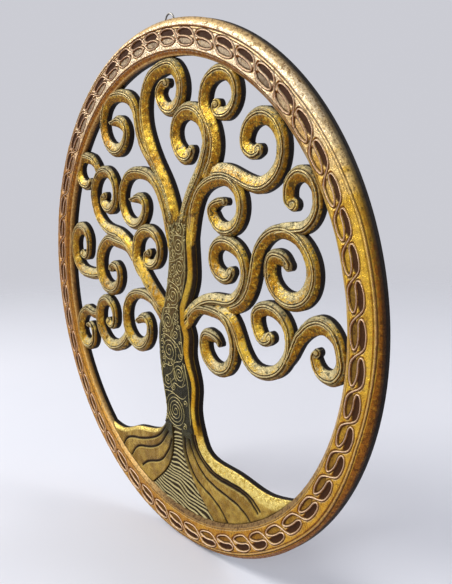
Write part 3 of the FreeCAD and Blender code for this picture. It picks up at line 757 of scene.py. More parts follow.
def make_slab(name, outline, carve, spacing, material):
    """A slab on the flat back with straight walls; carve gives height and colour layers of its face."""
    points, faces = fill_outline(outline, spacing)
    border = len(outline)
    height, layers = carve(points)
    count = len(points)
    ring = list(range(border))
    every = [to_world(points[:, 0], height, points[:, 1])]
    all_faces = []
    for face in faces:
        a, b, c = (points[i] for i in face[:3])
        turn = (b[0] - a[0]) * (c[1] - a[1]) - (b[1] - a[1]) * (c[0] - a[0])
        all_faces.append(face if turn > 0 else face[::-1])
    rim_points = points[:border]
    next_points = np.roll(rim_points, -1, axis=0)
    area = 0.5 * np.sum(rim_points[:, 0] * next_points[:, 1] - next_points[:, 0] * rim_points[:, 1])
    previous = ring
    for level, share in enumerate(WALL_SHARES[::-1]):
        start = count + level * border
        every.append(to_world(points[:border, 0], height[:border] * share, points[:border, 1]))
        current = [start + i for i in ring]
        for i in ring:
            j = (i + 1) % border
            quad = [previous[j], previous[i], current[i], current[j]]
            all_faces.append(quad if area > 0 else quad[::-1])
        previous = current
    all_faces.append(previous[::-1] if area > 0 else previous)
    extra = border * len(WALL_SHARES)
    full = {}
    for layer, values in layers.items():
        fill_value = 1.0 if layer == "wall" else 0.0
        full[layer] = np.r_[values, np.full(extra, fill_value)]
    make_object(name + "_carved", np.vstack(every), all_faces, full, material, name)


TRUNK_LEFT = [(-36, -160), (-31, -145), (-34, -122), (-39, -96), (-41, -68), (-39, -42), (-33, -28)]
TRUNK_LEFT_UPPER = [(-27, -16), (-21, 2), (-15, 24), (-11, 50), (-11, 84)]
TRUNK_TOP = [(-11, 84), (4, 90), (20, 92), (42, 90)]
TRUNK_RIGHT_UPPER = [(42, 90), (38, 66), (38, 24), (30, 2), (20, -16)]
TRUNK_RIGHT = [(20, -28), (27, -46), (25, -66), (31, -88), (34, -108), (31, -132), (38, -160)]
ROOT_LEFT_TOP = [(-36, -160), (-48, -172), (-76, -181), (-104, -186), (-130, -196), (-150, -200),
                 (-172, -197.6)]
ROOT_RIGHT_TOP = [(38, -160), (47, -175), (66, -182), (100, -184), (132, -189), (156, -190), (187, -183.5)]
MOUND_LEFT = [(-20, -160), (-21, -190), (-34, -218), (-56, -239), (-72, -251.9)]
MOUND_RIGHT = [(1, -160), (3, -192), (20, -218), (41, -240), (60, -255.0)]


def along_curve(points, spacing=0.9):
    return curve_through(points, spacing)[0]


def straight(start, end, spacing=0.9):
    count = max(int(math.dist(start, end) / spacing), 1)
    share = np.linspace(0, 1, count + 1)[:, None]
    return np.asarray(start, float) * (1 - share) + np.asarray(end, float) * share


def rim_arc(start, end, spacing=0.9):
    """Points on the rim's inner wall between the directions of two points."""
    first = math.atan2(start[1], start[0])
    last = math.atan2(end[1], end[0])
    count = int(abs(last - first) * RIM_INNER / spacing)
    angle = np.linspace(first, last, count + 1)
    return np.stack([RIM_INNER * np.cos(angle), RIM_INNER * np.sin(angle)], 1)


def closed(*parts):
    """Joins open lines end to end into one closed outline, dropping repeated corners."""
    return np.vstack([part[:-1] for part in parts])


def trunk_right_parts():
    """The trunk's right side in three stretches, from the fork down."""
    upper_end = straight(TRUNK_RIGHT_UPPER[-1], TRUNK_RIGHT[0])
    return along_curve(TRUNK_RIGHT_UPPER), upper_end, along_curve(TRUNK_RIGHT)


def trunk_outline():
    """The trunk's outline, clockwise from its lower left corner."""
    return closed(
        along_curve(TRUNK_LEFT), straight(TRUNK_LEFT[-1], TRUNK_LEFT_UPPER[0]), along_curve(TRUNK_LEFT_UPPER),
        along_curve(TRUNK_TOP), *trunk_right_parts(), straight(TRUNK_RIGHT[-1], TRUNK_LEFT[0]))


def leaf_width(z):
    """Width of the bright gold face down the trunk's right side."""
    return np.interp(z, [-170, -155, -120, -100, -80, -40, 60], [13, 11, 9.5, 11, 13.5, 14, 13])


def carve_trunk(points):
    """The trunk's face: flat and dark, with a gilded bevel down its right side behind a cut seam."""
    x, z = points[:, 0], points[:, 1]
    left = np.vstack([along_curve(TRUNK_LEFT), along_curve(TRUNK_LEFT_UPPER)])
    from_right = distance_to(points, np.vstack(trunk_right_parts()))[0]
    from_left = distance_to(points, left)[0]
    width = leaf_width(z) + 0.7 * waves(z, 0 * z, 41, 50)
    bevel = np.clip(1 - from_right / width, 0, 1)
    height = TRUNK_HEIGHT - 3.6 * bevel**1.25 - 1.6 * np.clip(1 - from_left / 3.0, 0, 1) ** 2
    seam = dimple(from_right - width - 0.6, 1.7)
    height -= 1.0 * seam
    height -= 2.6 * smooth_step(66, 92, z)
    height += 0.12 * waves(x, z, 43, 7) - 0.2 * dimple(waves(x, z, 44, 12), 0.25)
    layers = {
        # painted shade: the outer part of the gilded bevel, except at its foot, is near-black; the seam is a
        # real cut
        "dark": np.clip(seam + 0.985 * smooth_step(0.40, 0.68, bevel) * smooth_step(-172, -145, z), 0, 1),
        "wall": np.zeros(len(points)),
        # painted highlight along the bevel's inner edge
        "ridge": np.clip(dimple(from_right - width + 1.0, 1.2) * 0.5, 0, 1),
        "flank": np.zeros(len(points)),
        "gold": smooth_step(0.02, 0.10, bevel) * (1 - 0.3 * smooth_step(-66, -40, z)),
        "green": np.zeros(len(points)),
    }
    return height, layers


def winding(x, z, radius, start, turns):
    """A spiral line from its outside in to its middle; negative turns run clockwise."""
    share = np.linspace(0, 1, int(abs(turns) * 40) + 8)
    angle = math.radians(start) + share * turns * math.tau
    reach = radius * (1 - 0.93 * share)
    return np.stack([x + reach * np.cos(angle), z + reach * np.sin(angle)], 1)


# the raised lines on the trunk: spirals (x, z, radius, start angle, turns) and strands
TRUNK_SPIRALS = [
    (-10, -140, 21, 90, 4.3), (1, -93, 11.5, 240, -2.6), (-18, -68, 15, 300, 2.7), (-24, -104, 7, 20, -1.7),
    (-12, -111, 4.5, 200, 1.3), (-4, -46, 6.5, 120, 1.8), (-18, -32, 11, 260, -2.4), (-2, -24, 6, 40, -1.6),
    (-5, 0, 11.5, 250, 2.4), (6, 18, 6, 60, -1.6), (11, 34, 8.5, 270, -2.0), (-4, 30, 7, 80, 1.8),
    (0, 48, 6, 200, -1.5), (10, 58, 9.5, 240, 2.2), (-3, 70, 6, 20, -1.6), (12, 77, 6.5, 200, 1.7),
    (-30, -88, 4, 90, 1.3), (-34, -128, 3.5, 0, -1.2), (-28, -152, 4, 60, 1.3), (8, -156, 4.5, 120, -1.4),
    (11, -126, 4, 300, 1.3), (-12, -80, 4.5, 30, -1.4), (6, -70, 5, 160, 1.4), (-32, -58, 4, 250, 1.3),
    (-4, -58, 4.5, 20, -1.3), (2, -36, 4, 200, 1.3), (-28, -44, 4, 100, -1.3), (-15, -14, 3.5, 0, 1.2),
    (8, -12, 4, 200, 1.3), (-13, 16, 3.5, 40, -1.2), (4, 26, 3.5, 0, 1.2), (-6, 42, 3.5, 300, 1.2),
    (14, 46, 4, 100, -1.3), (22, 66, 3.5, 30, 1.2), (24, 80, 4, 320, -1.3), (-5, 58, 3.5, 90, 1.2)]
TRUNK_STRANDS = [
    [(-32, -158), (-28, -144), (-31, -122), (-35, -98), (-37, -70), (-35, -44), (-27, -22), (-18, 2),
     (-12, 26), (-8, 50), (-7, 80)],
    [(-32, -119), (-20, -118), (-8, -120), (6, -122), (14, -116)],
    [(-33, -112), (-22, -114), (-10, -106), (2, -108), (14, -102)],
    [(-34, -92), (-28, -86), (-16, -86), (-6, -80), (6, -76), (10, -64)],
    [(-34, -52), (-26, -49), (-18, -50), (-8, -54), (2, -60), (8, -72)],
    [(-30, -40), (-24, -18), (-14, -16), (-2, -14), (7, -20), (6, -36)],
    [(-19, 14), (-12, 16), (-2, 14), (8, 8), (12, 0)],
    [(-12, 38), (-6, 39), (2, 41), (12, 45), (20, 46)],
    [(-9, 60), (-3, 61), (2, 68), (6, 70), (18, 69)],
    [(-28, -100), (-18, -96), (-12, -90), (-10, -82)],
    [(6, -106), (12, -96), (13, -84), (9, -78)],
    [(-34, -104), (-33, -90), (-26, -80), (-28, -70)],
    [(-20, -122), (-14, -116), (-16, -106), (-8, -98), (-10, -88)],
    [(-26, -62), (-30, -52), (-24, -42), (-30, -30)],
    [(-12, -52), (-12, -44), (-6, -38), (-8, -30), (2, -16)],
    [(-22, -10), (-20, 2), (-14, 12), (-15, 22), (-10, 34)],
    [(4, 12), (12, 16), (14, 24), (20, 34), (18, 44)],
    [(2, 40), (-2, 54), (2, 62), (-1, 76), (4, 84)],
    [(16, 50), (20, 58), (18, 66), (22, 74), (18, 84)],
]
SMALL_SPIRAL_TRIES = 2600
SMALL_SPIRAL_REACH = 84      # above and below the plaque's middle
SMALL_SPIRAL_GAP = 1.1
SMALLEST_SPIRAL = 1.6
LARGEST_SMALL_SPIRAL = 4.2
FORK_STRIPS = [
    [(-3, 86), (-10, 108), (-22, 130), (-36, 148)],
    [(17, 86), (25, 103), (37, 121), (50, 138)],
]


def curling(line, amplitude, pitch):
    """A row of small loops along a line, like the raised cord on the fork's arms."""
    place, tangent, length, _ = curve_through(line, 0.35)
    phase = np.linspace(0, length, len(place)) / pitch * math.tau
    across = np.stack([-tangent[:, 1], tangent[:, 0]], 1)
    back_and_forth = 0.42 * pitch * np.sin(2 * phase) / 2
    return place + across * (amplitude * np.sin(phase))[:, None] - tangent * back_and_forth[:, None]


def kept_on_trunk(line, right):
    """The stretches of a line that lie on the trunk's dark face, clear of its edges."""
    outline = trunk_outline()
    from_edge = distance_to(line, outline)[0]
    from_right = distance_to(line, right)[0]
    is_kept = inside(line, outline) & (from_edge > 1.3) & (from_right > leaf_width(line[:, 1]) + 1.2)
    breaks = np.flatnonzero(np.diff(is_kept.astype(int))) + 1
    stretches = zip(np.split(line, breaks), np.split(is_kept, breaks))
    return [part for part, kept in stretches if kept[0] and len(part) > 8]


def small_spirals(lines, right):
    """Little spirals that fill the gaps between the larger ones, like curled tendrils."""
    chance = np.random.default_rng(61)
    outline = trunk_outline()
    low, high = outline.min(0), outline.max(0)
    spots = chance.uniform(low, high, (SMALL_SPIRAL_TRIES, 2))
    spots = spots[inside(spots, outline) & (np.abs(spots[:, 1]) < SMALL_SPIRAL_REACH)]
    from_edge = distance_to(spots, outline)[0]
    from_right = distance_to(spots, right)[0]
    room = np.minimum(from_edge - 1.0, from_right - leaf_width(spots[:, 1]) - 1.5)
    drawn = np.vstack(lines)
    small = []
    for (x, z), space in zip(spots, room):
        from_drawn = np.hypot(drawn[:, 0] - x, drawn[:, 1] - z).min()
        radius = min(space, from_drawn - SMALL_SPIRAL_GAP, LARGEST_SMALL_SPIRAL)
        if radius < SMALLEST_SPIRAL:
            continue
        turns = chance.choice([-1, 1]) * (0.6 + 0.25 * radius)
        spiral = winding(x, z, radius, chance.uniform(0, 360), turns)
        small.append(spiral)
        drawn = np.vstack([drawn, spiral])
    return small


def make_trunk_lines():
    """The trunk's raised spirals and strands, and the curled cords on the arms of its fork."""
    lines = [winding(*spiral) for spiral in TRUNK_SPIRALS]
    lines += [along_curve(strand, 0.8) for strand in TRUNK_STRANDS]
    right = np.vstack(trunk_right_parts())
    seam = right[right[:, 1] < 74][::6]
    seam = np.stack([seam[:, 0] - leaf_width(seam[:, 1]) - 3.4, seam[:, 1]], 1)
    lines.append(along_curve(soften_line(seam, 4), 0.8))
    lines = [part for line in lines for part in kept_on_trunk(line, right)]
    lines += small_spirals(lines, right)
    make_lines("trunk_filigree", lines, TRUNK_HEIGHT - 0.45, 0.55, 0.95, TRUNK_LINE)
    curls = [curling(strip, 2.1, 5.2) for strip in FORK_STRIPS]
    make_lines("fork_cords", curls, BRANCH_HEIGHT - 0.9, 0.5, 0.9, TRUNK_LINE)


def soften_line(line, reach):
    return np.stack([soften(line[:, 0], reach), soften(line[:, 1], reach)], 1)


def carve_root(points, root):
    """A root's face: a gilded bevel along its top, flowing grooves, and green near the trunk."""
    x, z = points[:, 0], points[:, 1]
    from_edge = distance_to(points, along_curve(root["top"]))[0]
    bevel = np.clip(1 - from_edge / root["leaf"], 0, 1)
    height = ROOT_HEIGHT - 2.9 * bevel**1.5
    by_mound = smooth_step(14, 2, distance_to(points, along_curve(root["mound_side"]))[0])
    near_trunk = smooth_step(-200, -168, z) * smooth_step(56, 38, np.abs(x + 2))
    near_trunk = np.maximum(near_trunk, by_mound * smooth_step(-228, -190, z) * 0.8)
    green = near_trunk * (1 - smooth_step(0.0, 0.10, bevel) * (x > 0))
    dark = np.zeros(len(points))
    shade = np.zeros(len(points))
    for groove in root["grooves"]:
        line, tangent, _, _ = curve_through(groove, 0.7)
        away, nearest = distance_to(points, line)
        across = np.stack([-tangent[:, 1], tangent[:, 0]], 1)
        beside = np.einsum("ij,ij->i", points - line[nearest], across[nearest])
        cut = dimple(away, root["groove_half"])
        # the wood swells towards one side of each groove and falls away on the other, and the side that falls
        # away gets painted shade
        swell = np.clip(1 - away / 8, 0, 1) ** 2 * (1 - cut)
        height += 0.5 * swell * np.sign(beside)
        height -= 1.7 * cut
        dark = np.maximum(dark, np.clip(cut * 1.5, 0, 1))
        shade = np.maximum(shade, swell * 0.45 * (beside < 0))
    dark = np.maximum(dark, dimple(np.hypot(x, z) - RIM_INNER, 3.0) * 0.7)
    height += 0.22 * waves(x, z, root["seed"], 14)
    layers = {
        "dark": dark,
        "wall": np.zeros(len(points)),
        # painted highlight along the root's top edge
        "ridge": dimple(from_edge - 0.5, 1.6) * 0.7,
        "flank": shade,
        "gold": smooth_step(0.05, 0.3, bevel) * (1 - dark) * (1 - near_trunk * (x < 0)),
        "green": green,
    }
    return np.minimum(height, ROOT_HEIGHT + 0.5), layers


ROOT_LEFT_GROOVES = [
    [(-30, -172), (-45, -190), (-60, -200), (-80, -207), (-100, -212), (-112, -220), (-120, -230)],
    [(-35, -167), (-50, -182), (-70, -192), (-95, -200), (-115, -204), (-132, -211), (-139, -220)],
    [(-22, -180), (-30, -195), (-45, -212), (-60, -220), (-80, -227), (-95, -237)],
]
ROOT_RIGHT_GROOVES = [
    [(15, -170), (20, -182), (30, -195), (42, -205), (62, -212), (85, -216), (107, -221), (122, -230)],
    [(22, -162), (27, -177), (40, -190), (60, -199), (85, -201), (107, -202), (122, -206), (135, -216)],
    [(26, -162), (31, -175), (43, -187), (62, -195.5), (86, -197.5), (108, -198.5), (126, -203), (139, -212)],
    [(6, -170), (7, -185), (15, -202), (30, -217), (50, -225), (65, -232), (77, -241), (84, -249)],
]
# leaf: width of the gilded bevel along the root's top; groove_half: half the width of a groove
ROOTS = {
    "root_left": dict(
        top=ROOT_LEFT_TOP, mound_side=MOUND_LEFT, grooves=ROOT_LEFT_GROOVES, leaf=4.8, groove_half=2.3,
        seed=51),
    "root_right": dict(
        top=ROOT_RIGHT_TOP, mound_side=MOUND_RIGHT, grooves=ROOT_RIGHT_GROOVES, leaf=15.0, groove_half=3.1,
        seed=52),
}
RIPPLE_PITCH = 5.1           # of the mound


def carve_mound(points):
    """The rippled wedge between the roots: narrow crests that bend as they go down."""
    x, z = points[:, 0], points[:, 1]
    below = -160 - z
    bend = -0.20 * (x + 8) * smooth_step(25, 90, below)
    bend = bend + 1.2 * waves(x, z, 71, 30) + 1.2 * waves(x, z, 73, 50)
    from_crest = (((below + bend) / RIPPLE_PITCH) % 1 - 0.5) * RIPPLE_PITCH
    crest = dimple(from_crest, 0.95)
    edges = np.vstack([along_curve(MOUND_LEFT), along_curve(MOUND_RIGHT)])
    border = dimple(distance_to(points, edges)[0], 2.8)
    height = ROOT_HEIGHT - 1.5 + 1.3 * crest * (1 - border) - 1.0 * border
    dark = np.clip(0.75 * smooth_step(1.1, 2.0, np.abs(from_crest)) + border, 0, 1)
    light = crest * (1 - border)
    flat = np.zeros(len(points))
    return height, {"dark": dark, "wall": flat, "ridge": light, "flank": flat}


def to_rim(line):
    """The same points, with the last one moved onto the rim's inner wall."""
    scale = RIM_INNER / math.hypot(*line[-1])
    return line[:-1] + [(line[-1][0] * scale, line[-1][1] * scale)]


def wedge_outline(first, second):
    """What lies between two lines that start at the trunk's foot and end on the rim."""
    first, second = to_rim(first), to_rim(second)
    arc = rim_arc(first[-1], second[-1])
    return closed(along_curve(first), arc, along_curve(second[::-1]), straight(second[0], first[0]))


# ---- rim -------------------------------------------------------------------------------
CELLS = 54
COLUMNS_PER_CELL = 50
CHAIN_HALF = 8.6
ROUND_OVER = 292.5           # from here the rim's face rounds down to the outer wall
OUTER_EDGE_HEIGHT = 9.3
BEVEL_RADIUS = 267.3         # from here it slopes down to the inner wall
BEVEL_DROP = 3.8
POCKET_DEPTH = 1.3           # inside the chain's loops
HANGER_POCKET_HALF = 13.0    # half the width of the pocket in the back, and its lower end
HANGER_POCKET_BOTTOM = 271.0
# how far out the raised line runs, by angle in degrees
CHAIN_MIDDLE = [(-180, 280), (-135, 282), (-80, 283), (-60, 281), (-40, 279.5), (-20, 278), (0, 277),
                (35, 277), (60, 279), (85, 281), (130, 283), (155, 281), (180, 280)]
# one cell of the raised line: place along the cell, clockwise, and across it from -1 at the
# inside to 1 at the outside
CELL_LINE = [(0.10, -0.60), (0.24, -0.92), (0.46, -1.0), (0.70, -0.90), (0.86, -0.62), (0.83, -0.32),
             (0.65, -0.04), (0.42, 0.07), (0.18, 0.08), (0.04, 0.33), (0.07, 0.72), (0.27, 0.97), (0.52, 1.0),
             (0.74, 0.84), (0.88, 0.40), (0.99, -0.14)]
# the two sunk lobes of each cell, the inner one first: middle and half sizes
LOBES = [(0.50, -0.47, 0.42, 0.50), (0.42, 0.52, 0.44, 0.46)]
# painted shade on the inner bevel, by angle in degrees
BEVEL_SHADE = [(-180, 0.05), (-120, 0.4), (-95, 0.9), (-45, 0.85), (0, 0.55), (60, 0.65), (90, 0.5),
               (130, 0.1), (180, 0.05)]
# how much of the inner lobes is gilded, by angle in degrees
LOBE_LEAF = [(-180, 0.2), (-100, 0.15), (-70, 0.55), (-45, 0.5), (-28, 0.2), (-20, 0.85), (-12, 0.15),
             (8, 0.25), (18, 0.95), (42, 0.95), (52, 0.2), (62, 0.5), (90, 0.55), (140, 0.3), (180, 0.2)]
# where the incised line round the outside runs, by angle in degrees
OUTER_LINE = [(-180, 294.5), (-60, 295), (-40, 297), (-20, 293.5), (0, 297), (20, 296.5), (45, 291),
              (90, 290.5), (130, 294), (180, 294.5)]


def by_angle(table, angle):
    """The value at an angle in radians, from a table in degrees: 0 is to the right, 90 at the top."""
    around = np.degrees(np.arctan2(np.sin(angle), np.cos(angle)))
    return np.interp(around, *np.array(table).T)


def chain_middle(angle):
    """The chain wanders a little, as it was carved by hand."""
    return by_angle(CHAIN_MIDDLE, angle) + 0.5 * drift(angle, 81, math.tau, 4)


def chain_half(angle):
    return CHAIN_HALF * (1 + 0.06 * drift(angle, 82, math.tau, 5))


def chain_shift(angle):
    """Uneven spacing of the cells, in cells."""
    return 0.10 * drift(angle, 83, math.tau, 5)


def chain_points():
    """Points (x, z) on the endless raised line, clockwise from the top."""
    cell = np.array(CELL_LINE)
    u = (np.arange(CELLS)[:, None] + cell[None, :, 0]).ravel()
    v = np.tile(cell[:, 1], CELLS)
    base = math.radians(90) - u * math.tau / CELLS
    angle = base + chain_shift(base) * math.tau / CELLS
    radius = chain_middle(base) + v * chain_half(base)
    return np.stack([radius * np.cos(angle), radius * np.sin(angle)], 1)


def closed_curve(points, spacing):
    """A smooth closed curve: Catmull-Rom through the points, resampled evenly."""
    before, here, there, after = (np.roll(points, s, axis=0)[:, None] for s in (1, 0, -1, -2))
    share = np.linspace(0, 1, 8, endpoint=False)[None, :, None]
    line = catmull_rom(before, here, there, after, share).reshape(-1, 2)
    line = np.vstack([line, line[:1]])
    length = np.r_[0, np.cumsum(np.linalg.norm(np.diff(line, axis=0), axis=1))]
    count = int(length[-1] / spacing)
    at = np.linspace(0, length[-1], count, endpoint=False)
    return np.stack([np.interp(at, length, line[:, 0]), np.interp(at, length, line[:, 1])], 1)


def rim_height(radius, angle):
    """The rim's plain profile, and the radii of its outer incised line and of its bevel's edge."""
    line_radius = by_angle(OUTER_LINE, angle) + 0.6 * drift(angle, 84, math.tau, 5)
    inner_edge = BEVEL_RADIUS + 0.9 * drift(angle, 85, math.tau, 4)
    crown = RIM_HEIGHT - 0.3
    outside = np.clip((radius - ROUND_OVER) / (RIM_OUTER - ROUND_OVER), 0, 1)
    height = crown - (crown - OUTER_EDGE_HEIGHT) * outside**2.2
    inside_share = np.clip((inner_edge - radius) / (inner_edge - RIM_INNER), 0, 1)
    height = height - BEVEL_DROP * inside_share
    height = height + 0.12 * drift(angle * 3, 86, math.tau, 5)
    return height, line_radius, inner_edge


def make_rim():
    """The ring with its incised lines and pockets, and the chain's raised line on it."""
    chain = closed_curve(chain_points(), 0.8)
    columns = CELLS * COLUMNS_PER_CELL
    angle = math.radians(90) - np.arange(columns) / columns * math.tau
    outer_part = np.linspace(RIM_OUTER, 288, 20)
    face = np.r_[outer_part, np.linspace(287.3, 267.5, 32), np.linspace(266.8, RIM_INNER, 8)]
    # once round the section: outer wall, face, inner wall and back
    radius = np.r_[RIM_OUTER, RIM_OUTER, face, RIM_INNER, RIM_INNER, 270.4, 271.2, 286.0, 299.5]
    face_end = 2 + len(face)
    angle_grid, radius_grid = np.meshgrid(angle, radius, indexing="ij")
    height, line_radius, inner_edge = rim_height(radius_grid, angle_grid)
    x = radius_grid * np.cos(angle_grid)
    z = radius_grid * np.sin(angle_grid)
    # pockets inside the chain
    middle = chain_middle(angle_grid)
    half = chain_half(angle_grid)
    close = np.abs(radius_grid - middle) < half + 3.5
    close[:, :2] = False
    close[:, face_end:] = False
    away = np.full(radius_grid.shape, 9.0)
    away[close] = distance_to(np.stack([x[close], z[close]], 1), chain)[0]
    cell_place = ((math.radians(90) - angle_grid) / math.tau * CELLS + chain_shift(angle_grid)) % 1
    across_cell = (radius_grid - middle) / half
    inner_lobe, outer_lobe = (
        smooth_step(1.22, 0.98, np.hypot((cell_place - lobe_x) / lobe_w, (across_cell - lobe_y) / lobe_h))
        for lobe_x, lobe_y, lobe_w, lobe_h in LOBES)
    enclosed = np.maximum(inner_lobe, outer_lobe) * (np.abs(across_cell) < 1.3)
    pocket = smooth_step(0.45, 1.1, away) * enclosed
    leafed = by_angle(LOBE_LEAF, angle_grid) * inner_lobe * smooth_step(1.5, 2.6, away)
    outline = dimple(away - 1.25, 0.95) * (1 - enclosed)
    height = height - POCKET_DEPTH * pocket - 0.7 * outline
    # the double line round the outside and the crease inside
    from_line = radius_grid - line_radius
    line = dimple(from_line, 1.15) + 0.8 * dimple(from_line + 2.7, 0.85)
    crease = dimple(radius_grid - inner_edge, 1.0)
    height = height - 0.9 * line - 0.7 * crease
    height += 0.10 * waves(x, z, 87, 8)
    # side walls, back and the hanger's pocket
    height[:, 0] = 0
    height[:, 1] = 4.5
    height[:, face_end] = 4.5
    height[:, face_end + 1:] = 0
    pocket_depth = (BACK_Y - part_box("hanger_strap")[0].y) / MM
    sunk = (np.abs(x) < HANGER_POCKET_HALF) & (z > HANGER_POCKET_BOTTOM) & (height < pocket_depth)
    height = np.where(sunk, pocket_depth, height)
    is_wall = np.zeros(radius_grid.shape)
    is_wall[:, :2] = 1
    is_wall[:, 2] = 0.7
    is_wall[:, face_end:] = 1
    cuts = pocket * (1 - leafed) * 0.985 + outline * 0.9 + line * 0.95 + crease * 0.9
    dark = np.clip(cuts, 0, 1) * (1 - is_wall)
    # a pale line between the two outer incised lines, and painted highlight along the inner lip
    light = dimple(from_line + 1.2, 0.8) * 0.8 + dimple(radius_grid - RIM_INNER - 0.6, 1.3) * 0.7
    bevelled = smooth_step(inner_edge, inner_edge - 2.0, radius_grid)
    shadow = smooth_step(0.45, 1.0, by_angle(BEVEL_SHADE, angle_grid)) * bevelled
    dark = np.maximum(dark, 0.8 * shadow * (1 - is_wall))
    light = np.clip(light, 0, 1) * (1 - is_wall) * (1 - 0.7 * shadow)
    # patina colour over the outer round-over, and painted shade in the patina colour on the inner bevel by
    # angle
    flank = smooth_step(295.0, 299.0, radius_grid) * 0.9 + bevelled * by_angle(BEVEL_SHADE, angle_grid)
    flank = np.clip(flank, 0, 1) * (1 - is_wall)
    points = to_world(x, height, z).reshape(-1, 3)
    faces = tube_faces(columns, len(radius), close_rows=True)
    layers = {"dark": dark, "wall": is_wall, "ridge": light, "flank": flank}
    make_object("rim_carved", points, faces, layers, RIM_GOLD, "rim")
    make_lines("rim_chain_line", [chain], RIM_HEIGHT - 0.8, 0.6, 1.2, RIM_LINE, True)


def make_lines(name, lines, base, half_width, rise, material, is_closed=False):
    """Raised half-round lines that lie on a carved face, as one piece."""
    profile = np.array([(-1.0, -0.6), (-0.8, 0.45), (0.0, 1.0), (0.8, 0.45), (1.0, -0.6)])
    every = []
    faces = []
    start = 0
    for line in lines:
        count = len(line)
        ahead = np.gradient(line, axis=0)
        if is_closed:
            ahead = np.roll(line, -1, axis=0) - np.roll(line, 1, axis=0)
        ahead = ahead / np.linalg.norm(ahead, axis=1)[:, None]
        across = np.stack([-ahead[:, 1], ahead[:, 0]], 1)
        place = np.arange(count)
        width = half_width * (1 + 0.10 * drift(place, 91, count))
        if not is_closed:
            width = width * np.clip(np.minimum(place, place[::-1]) / 4.0 + 0.3, 0, 1)
        x = line[:, 0, None] + across[:, 0, None] * profile[:, 0] * width[:, None]
        z = line[:, 1, None] + across[:, 1, None] * profile[:, 0] * width[:, None]
        height = base + profile[:, 1] * rise + 0 * x
        every.append(to_world(x, height, z).reshape(-1, 3))
        faces += [[start + i for i in face] for face in tube_faces(count, len(profile), is_closed)]
        start += x.size
    points = np.vstack(every)
    zero = np.zeros(len(points))
    layers = {"dark": zero, "wall": zero, "ridge": zero + 0.5, "flank": zero}
    make_object(name, points, faces, layers, material)


# ---- build -------------------------------------------------------------------------------
for order, (branch_name, branch_data) in enumerate(BRANCHES.items()):
    make_branch(branch_name, branch_data, order)
make_slab("trunk", trunk_outline(), carve_trunk, 1.0, PATINA)
for root_name, root_data in ROOTS.items():
    make_slab(root_name, wedge_outline(root_data["top"], root_data["mound_side"]),
              lambda points: carve_root(points, root_data), 0.9, ROOT_GOLD)
make_slab("root_mound", wedge_outline(MOUND_LEFT, MOUND_RIGHT), carve_mound, 0.7, MOUND_DARK)
make_trunk_lines()
make_rim()
for node in ("hanger_strap", "hanger_screw", "hanger_ring"):
    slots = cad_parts[node].data.materials
    slots.clear()
    slots.append(STEEL)

# ---- floor, light and camera ---------------------------------------------------------------
FLOOR_HALF = 4.0
FLOOR_GAP = 0.0005           # below the plaque
CAMERA_PLACE = (0.67228, -0.46165, 0.14976)
CAMERA_FORWARD = (-0.77575, 0.60508, -0.17914)
CAMERA_UP = (-0.12216, 0.13451, 0.98335)
CAMERA_LENS = 44.26          # millimetres, on a sensor 36 mm wide


def make_floor():
    """A pale floor that fades into the pale room a few metres out."""
    mesh = bpy.data.meshes.new("floor")
    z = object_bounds()[0].z - FLOOR_GAP
    corners = [(x * FLOOR_HALF, y * FLOOR_HALF, z) for x, y in ((-1, -1), (1, -1), (1, 1), (-1, 1))]
    mesh.from_pydata(corners, [], [(0, 1, 2, 3)])
    nodes = Nodes("pale_floor")
    tone = nodes.mix(nodes.noise(3, 3), rgb(0.66, 0.68, 0.74), rgb(0.70, 0.715, 0.77))
    distance = nodes.tree.nodes.new("ShaderNodeVectorMath")
    distance.operation = "LENGTH"
    nodes.tree.links.new(nodes.place, distance.inputs[0])
    nodes.link(nodes.remap(distance.outputs["Value"], 0.75, 2.6, 1.0, 0.0), nodes.shader.inputs["Alpha"])
    nodes.finish(tone, 0.85, 0.0, nodes.bump(nodes.noise(60, 2), 0.0005, 0.1))
    mesh.materials.append(nodes.material)
    floor = add_to_scene("floor", mesh)


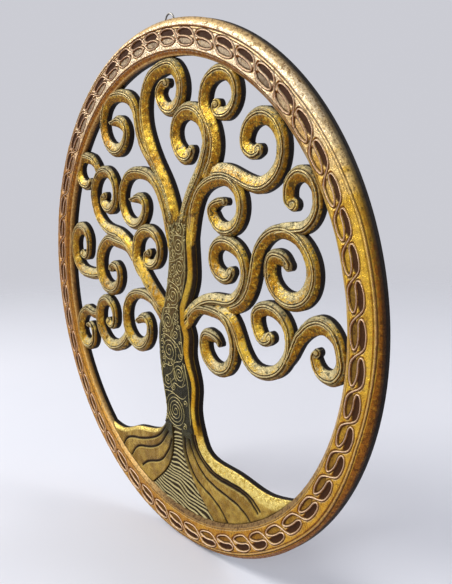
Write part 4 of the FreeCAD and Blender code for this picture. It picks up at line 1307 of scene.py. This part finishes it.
def make_light(name, place, size, power, colour):
    """A round soft light that points at the middle of the plaque."""
    data = bpy.data.lights.new(name, "AREA")
    data.shape = "DISK"
    data.size = size
    data.energy = power
    data.color = colour
    light = add_to_scene(name, data)
    light.location = place
    light.rotation_mode = "QUATERNION"
    light.rotation_quaternion = (-Vector(place)).to_track_quat("-Z", "Y")


def make_world():
    """A pale room: brighter to the left and above, where the window light comes from."""
    world = bpy.data.worlds.new("studio")
    world.use_nodes = True
    tree = world.node_tree
    background = tree.nodes["Background"]
    direction = tree.nodes.new("ShaderNodeTexCoord").outputs["Generated"]
    facing = tree.nodes.new("ShaderNodeVectorMath")
    facing.operation = "DOT_PRODUCT"
    tree.links.new(direction, facing.inputs[0])
    facing.inputs[1].default_value = (-0.80, 0.50, 0.33)
    ramp = tree.nodes.new("ShaderNodeValToRGB")
    place = tree.nodes.new("ShaderNodeMapRange")
    place.inputs["From Min"].default_value = -1.0
    tree.links.new(facing.outputs["Value"], place.inputs["Value"])
    tree.links.new(place.outputs["Result"], ramp.inputs["Fac"])
    ramp.color_ramp.elements[0].position = 0.25
    ramp.color_ramp.elements[0].color = (0.10, 0.10, 0.11, 1)
    ramp.color_ramp.elements[1].position = 0.72
    ramp.color_ramp.elements[1].color = (0.60, 0.605, 0.655, 1)
    tree.links.new(ramp.outputs["Color"], background.inputs["Color"])
    background.inputs["Strength"].default_value = 1.0
    bpy.context.scene.world = world


def make_camera():
    """Three quarters from the right and a little above, as the plaque hangs on its wall."""
    forward = Vector(CAMERA_FORWARD).normalized()
    right = forward.cross(Vector(CAMERA_UP)).normalized()
    up = right.cross(forward)
    data = bpy.data.cameras.new("camera")
    data.sensor_width = 36.0
    data.lens = CAMERA_LENS
    camera = add_to_scene("camera", data)
    turn = Matrix((right, up, -forward)).transposed().to_4x4()
    camera.matrix_world = Matrix.Translation(CAMERA_PLACE) @ turn
    bpy.context.scene.camera = camera


make_floor()
make_world()
make_light("key", (-1.7, -1.7, 1.9), 1.5, 85, (1.0, 0.97, 0.93))
make_light("fill", (1.6, -1.9, 0.9), 1.6, 30, (0.92, 0.95, 1.0))
make_light("back", (1.3, 2.2, 1.3), 1.5, 26, (1.0, 0.98, 0.95))
bpy.context.scene.view_settings.view_transform = "Standard"
make_camera()
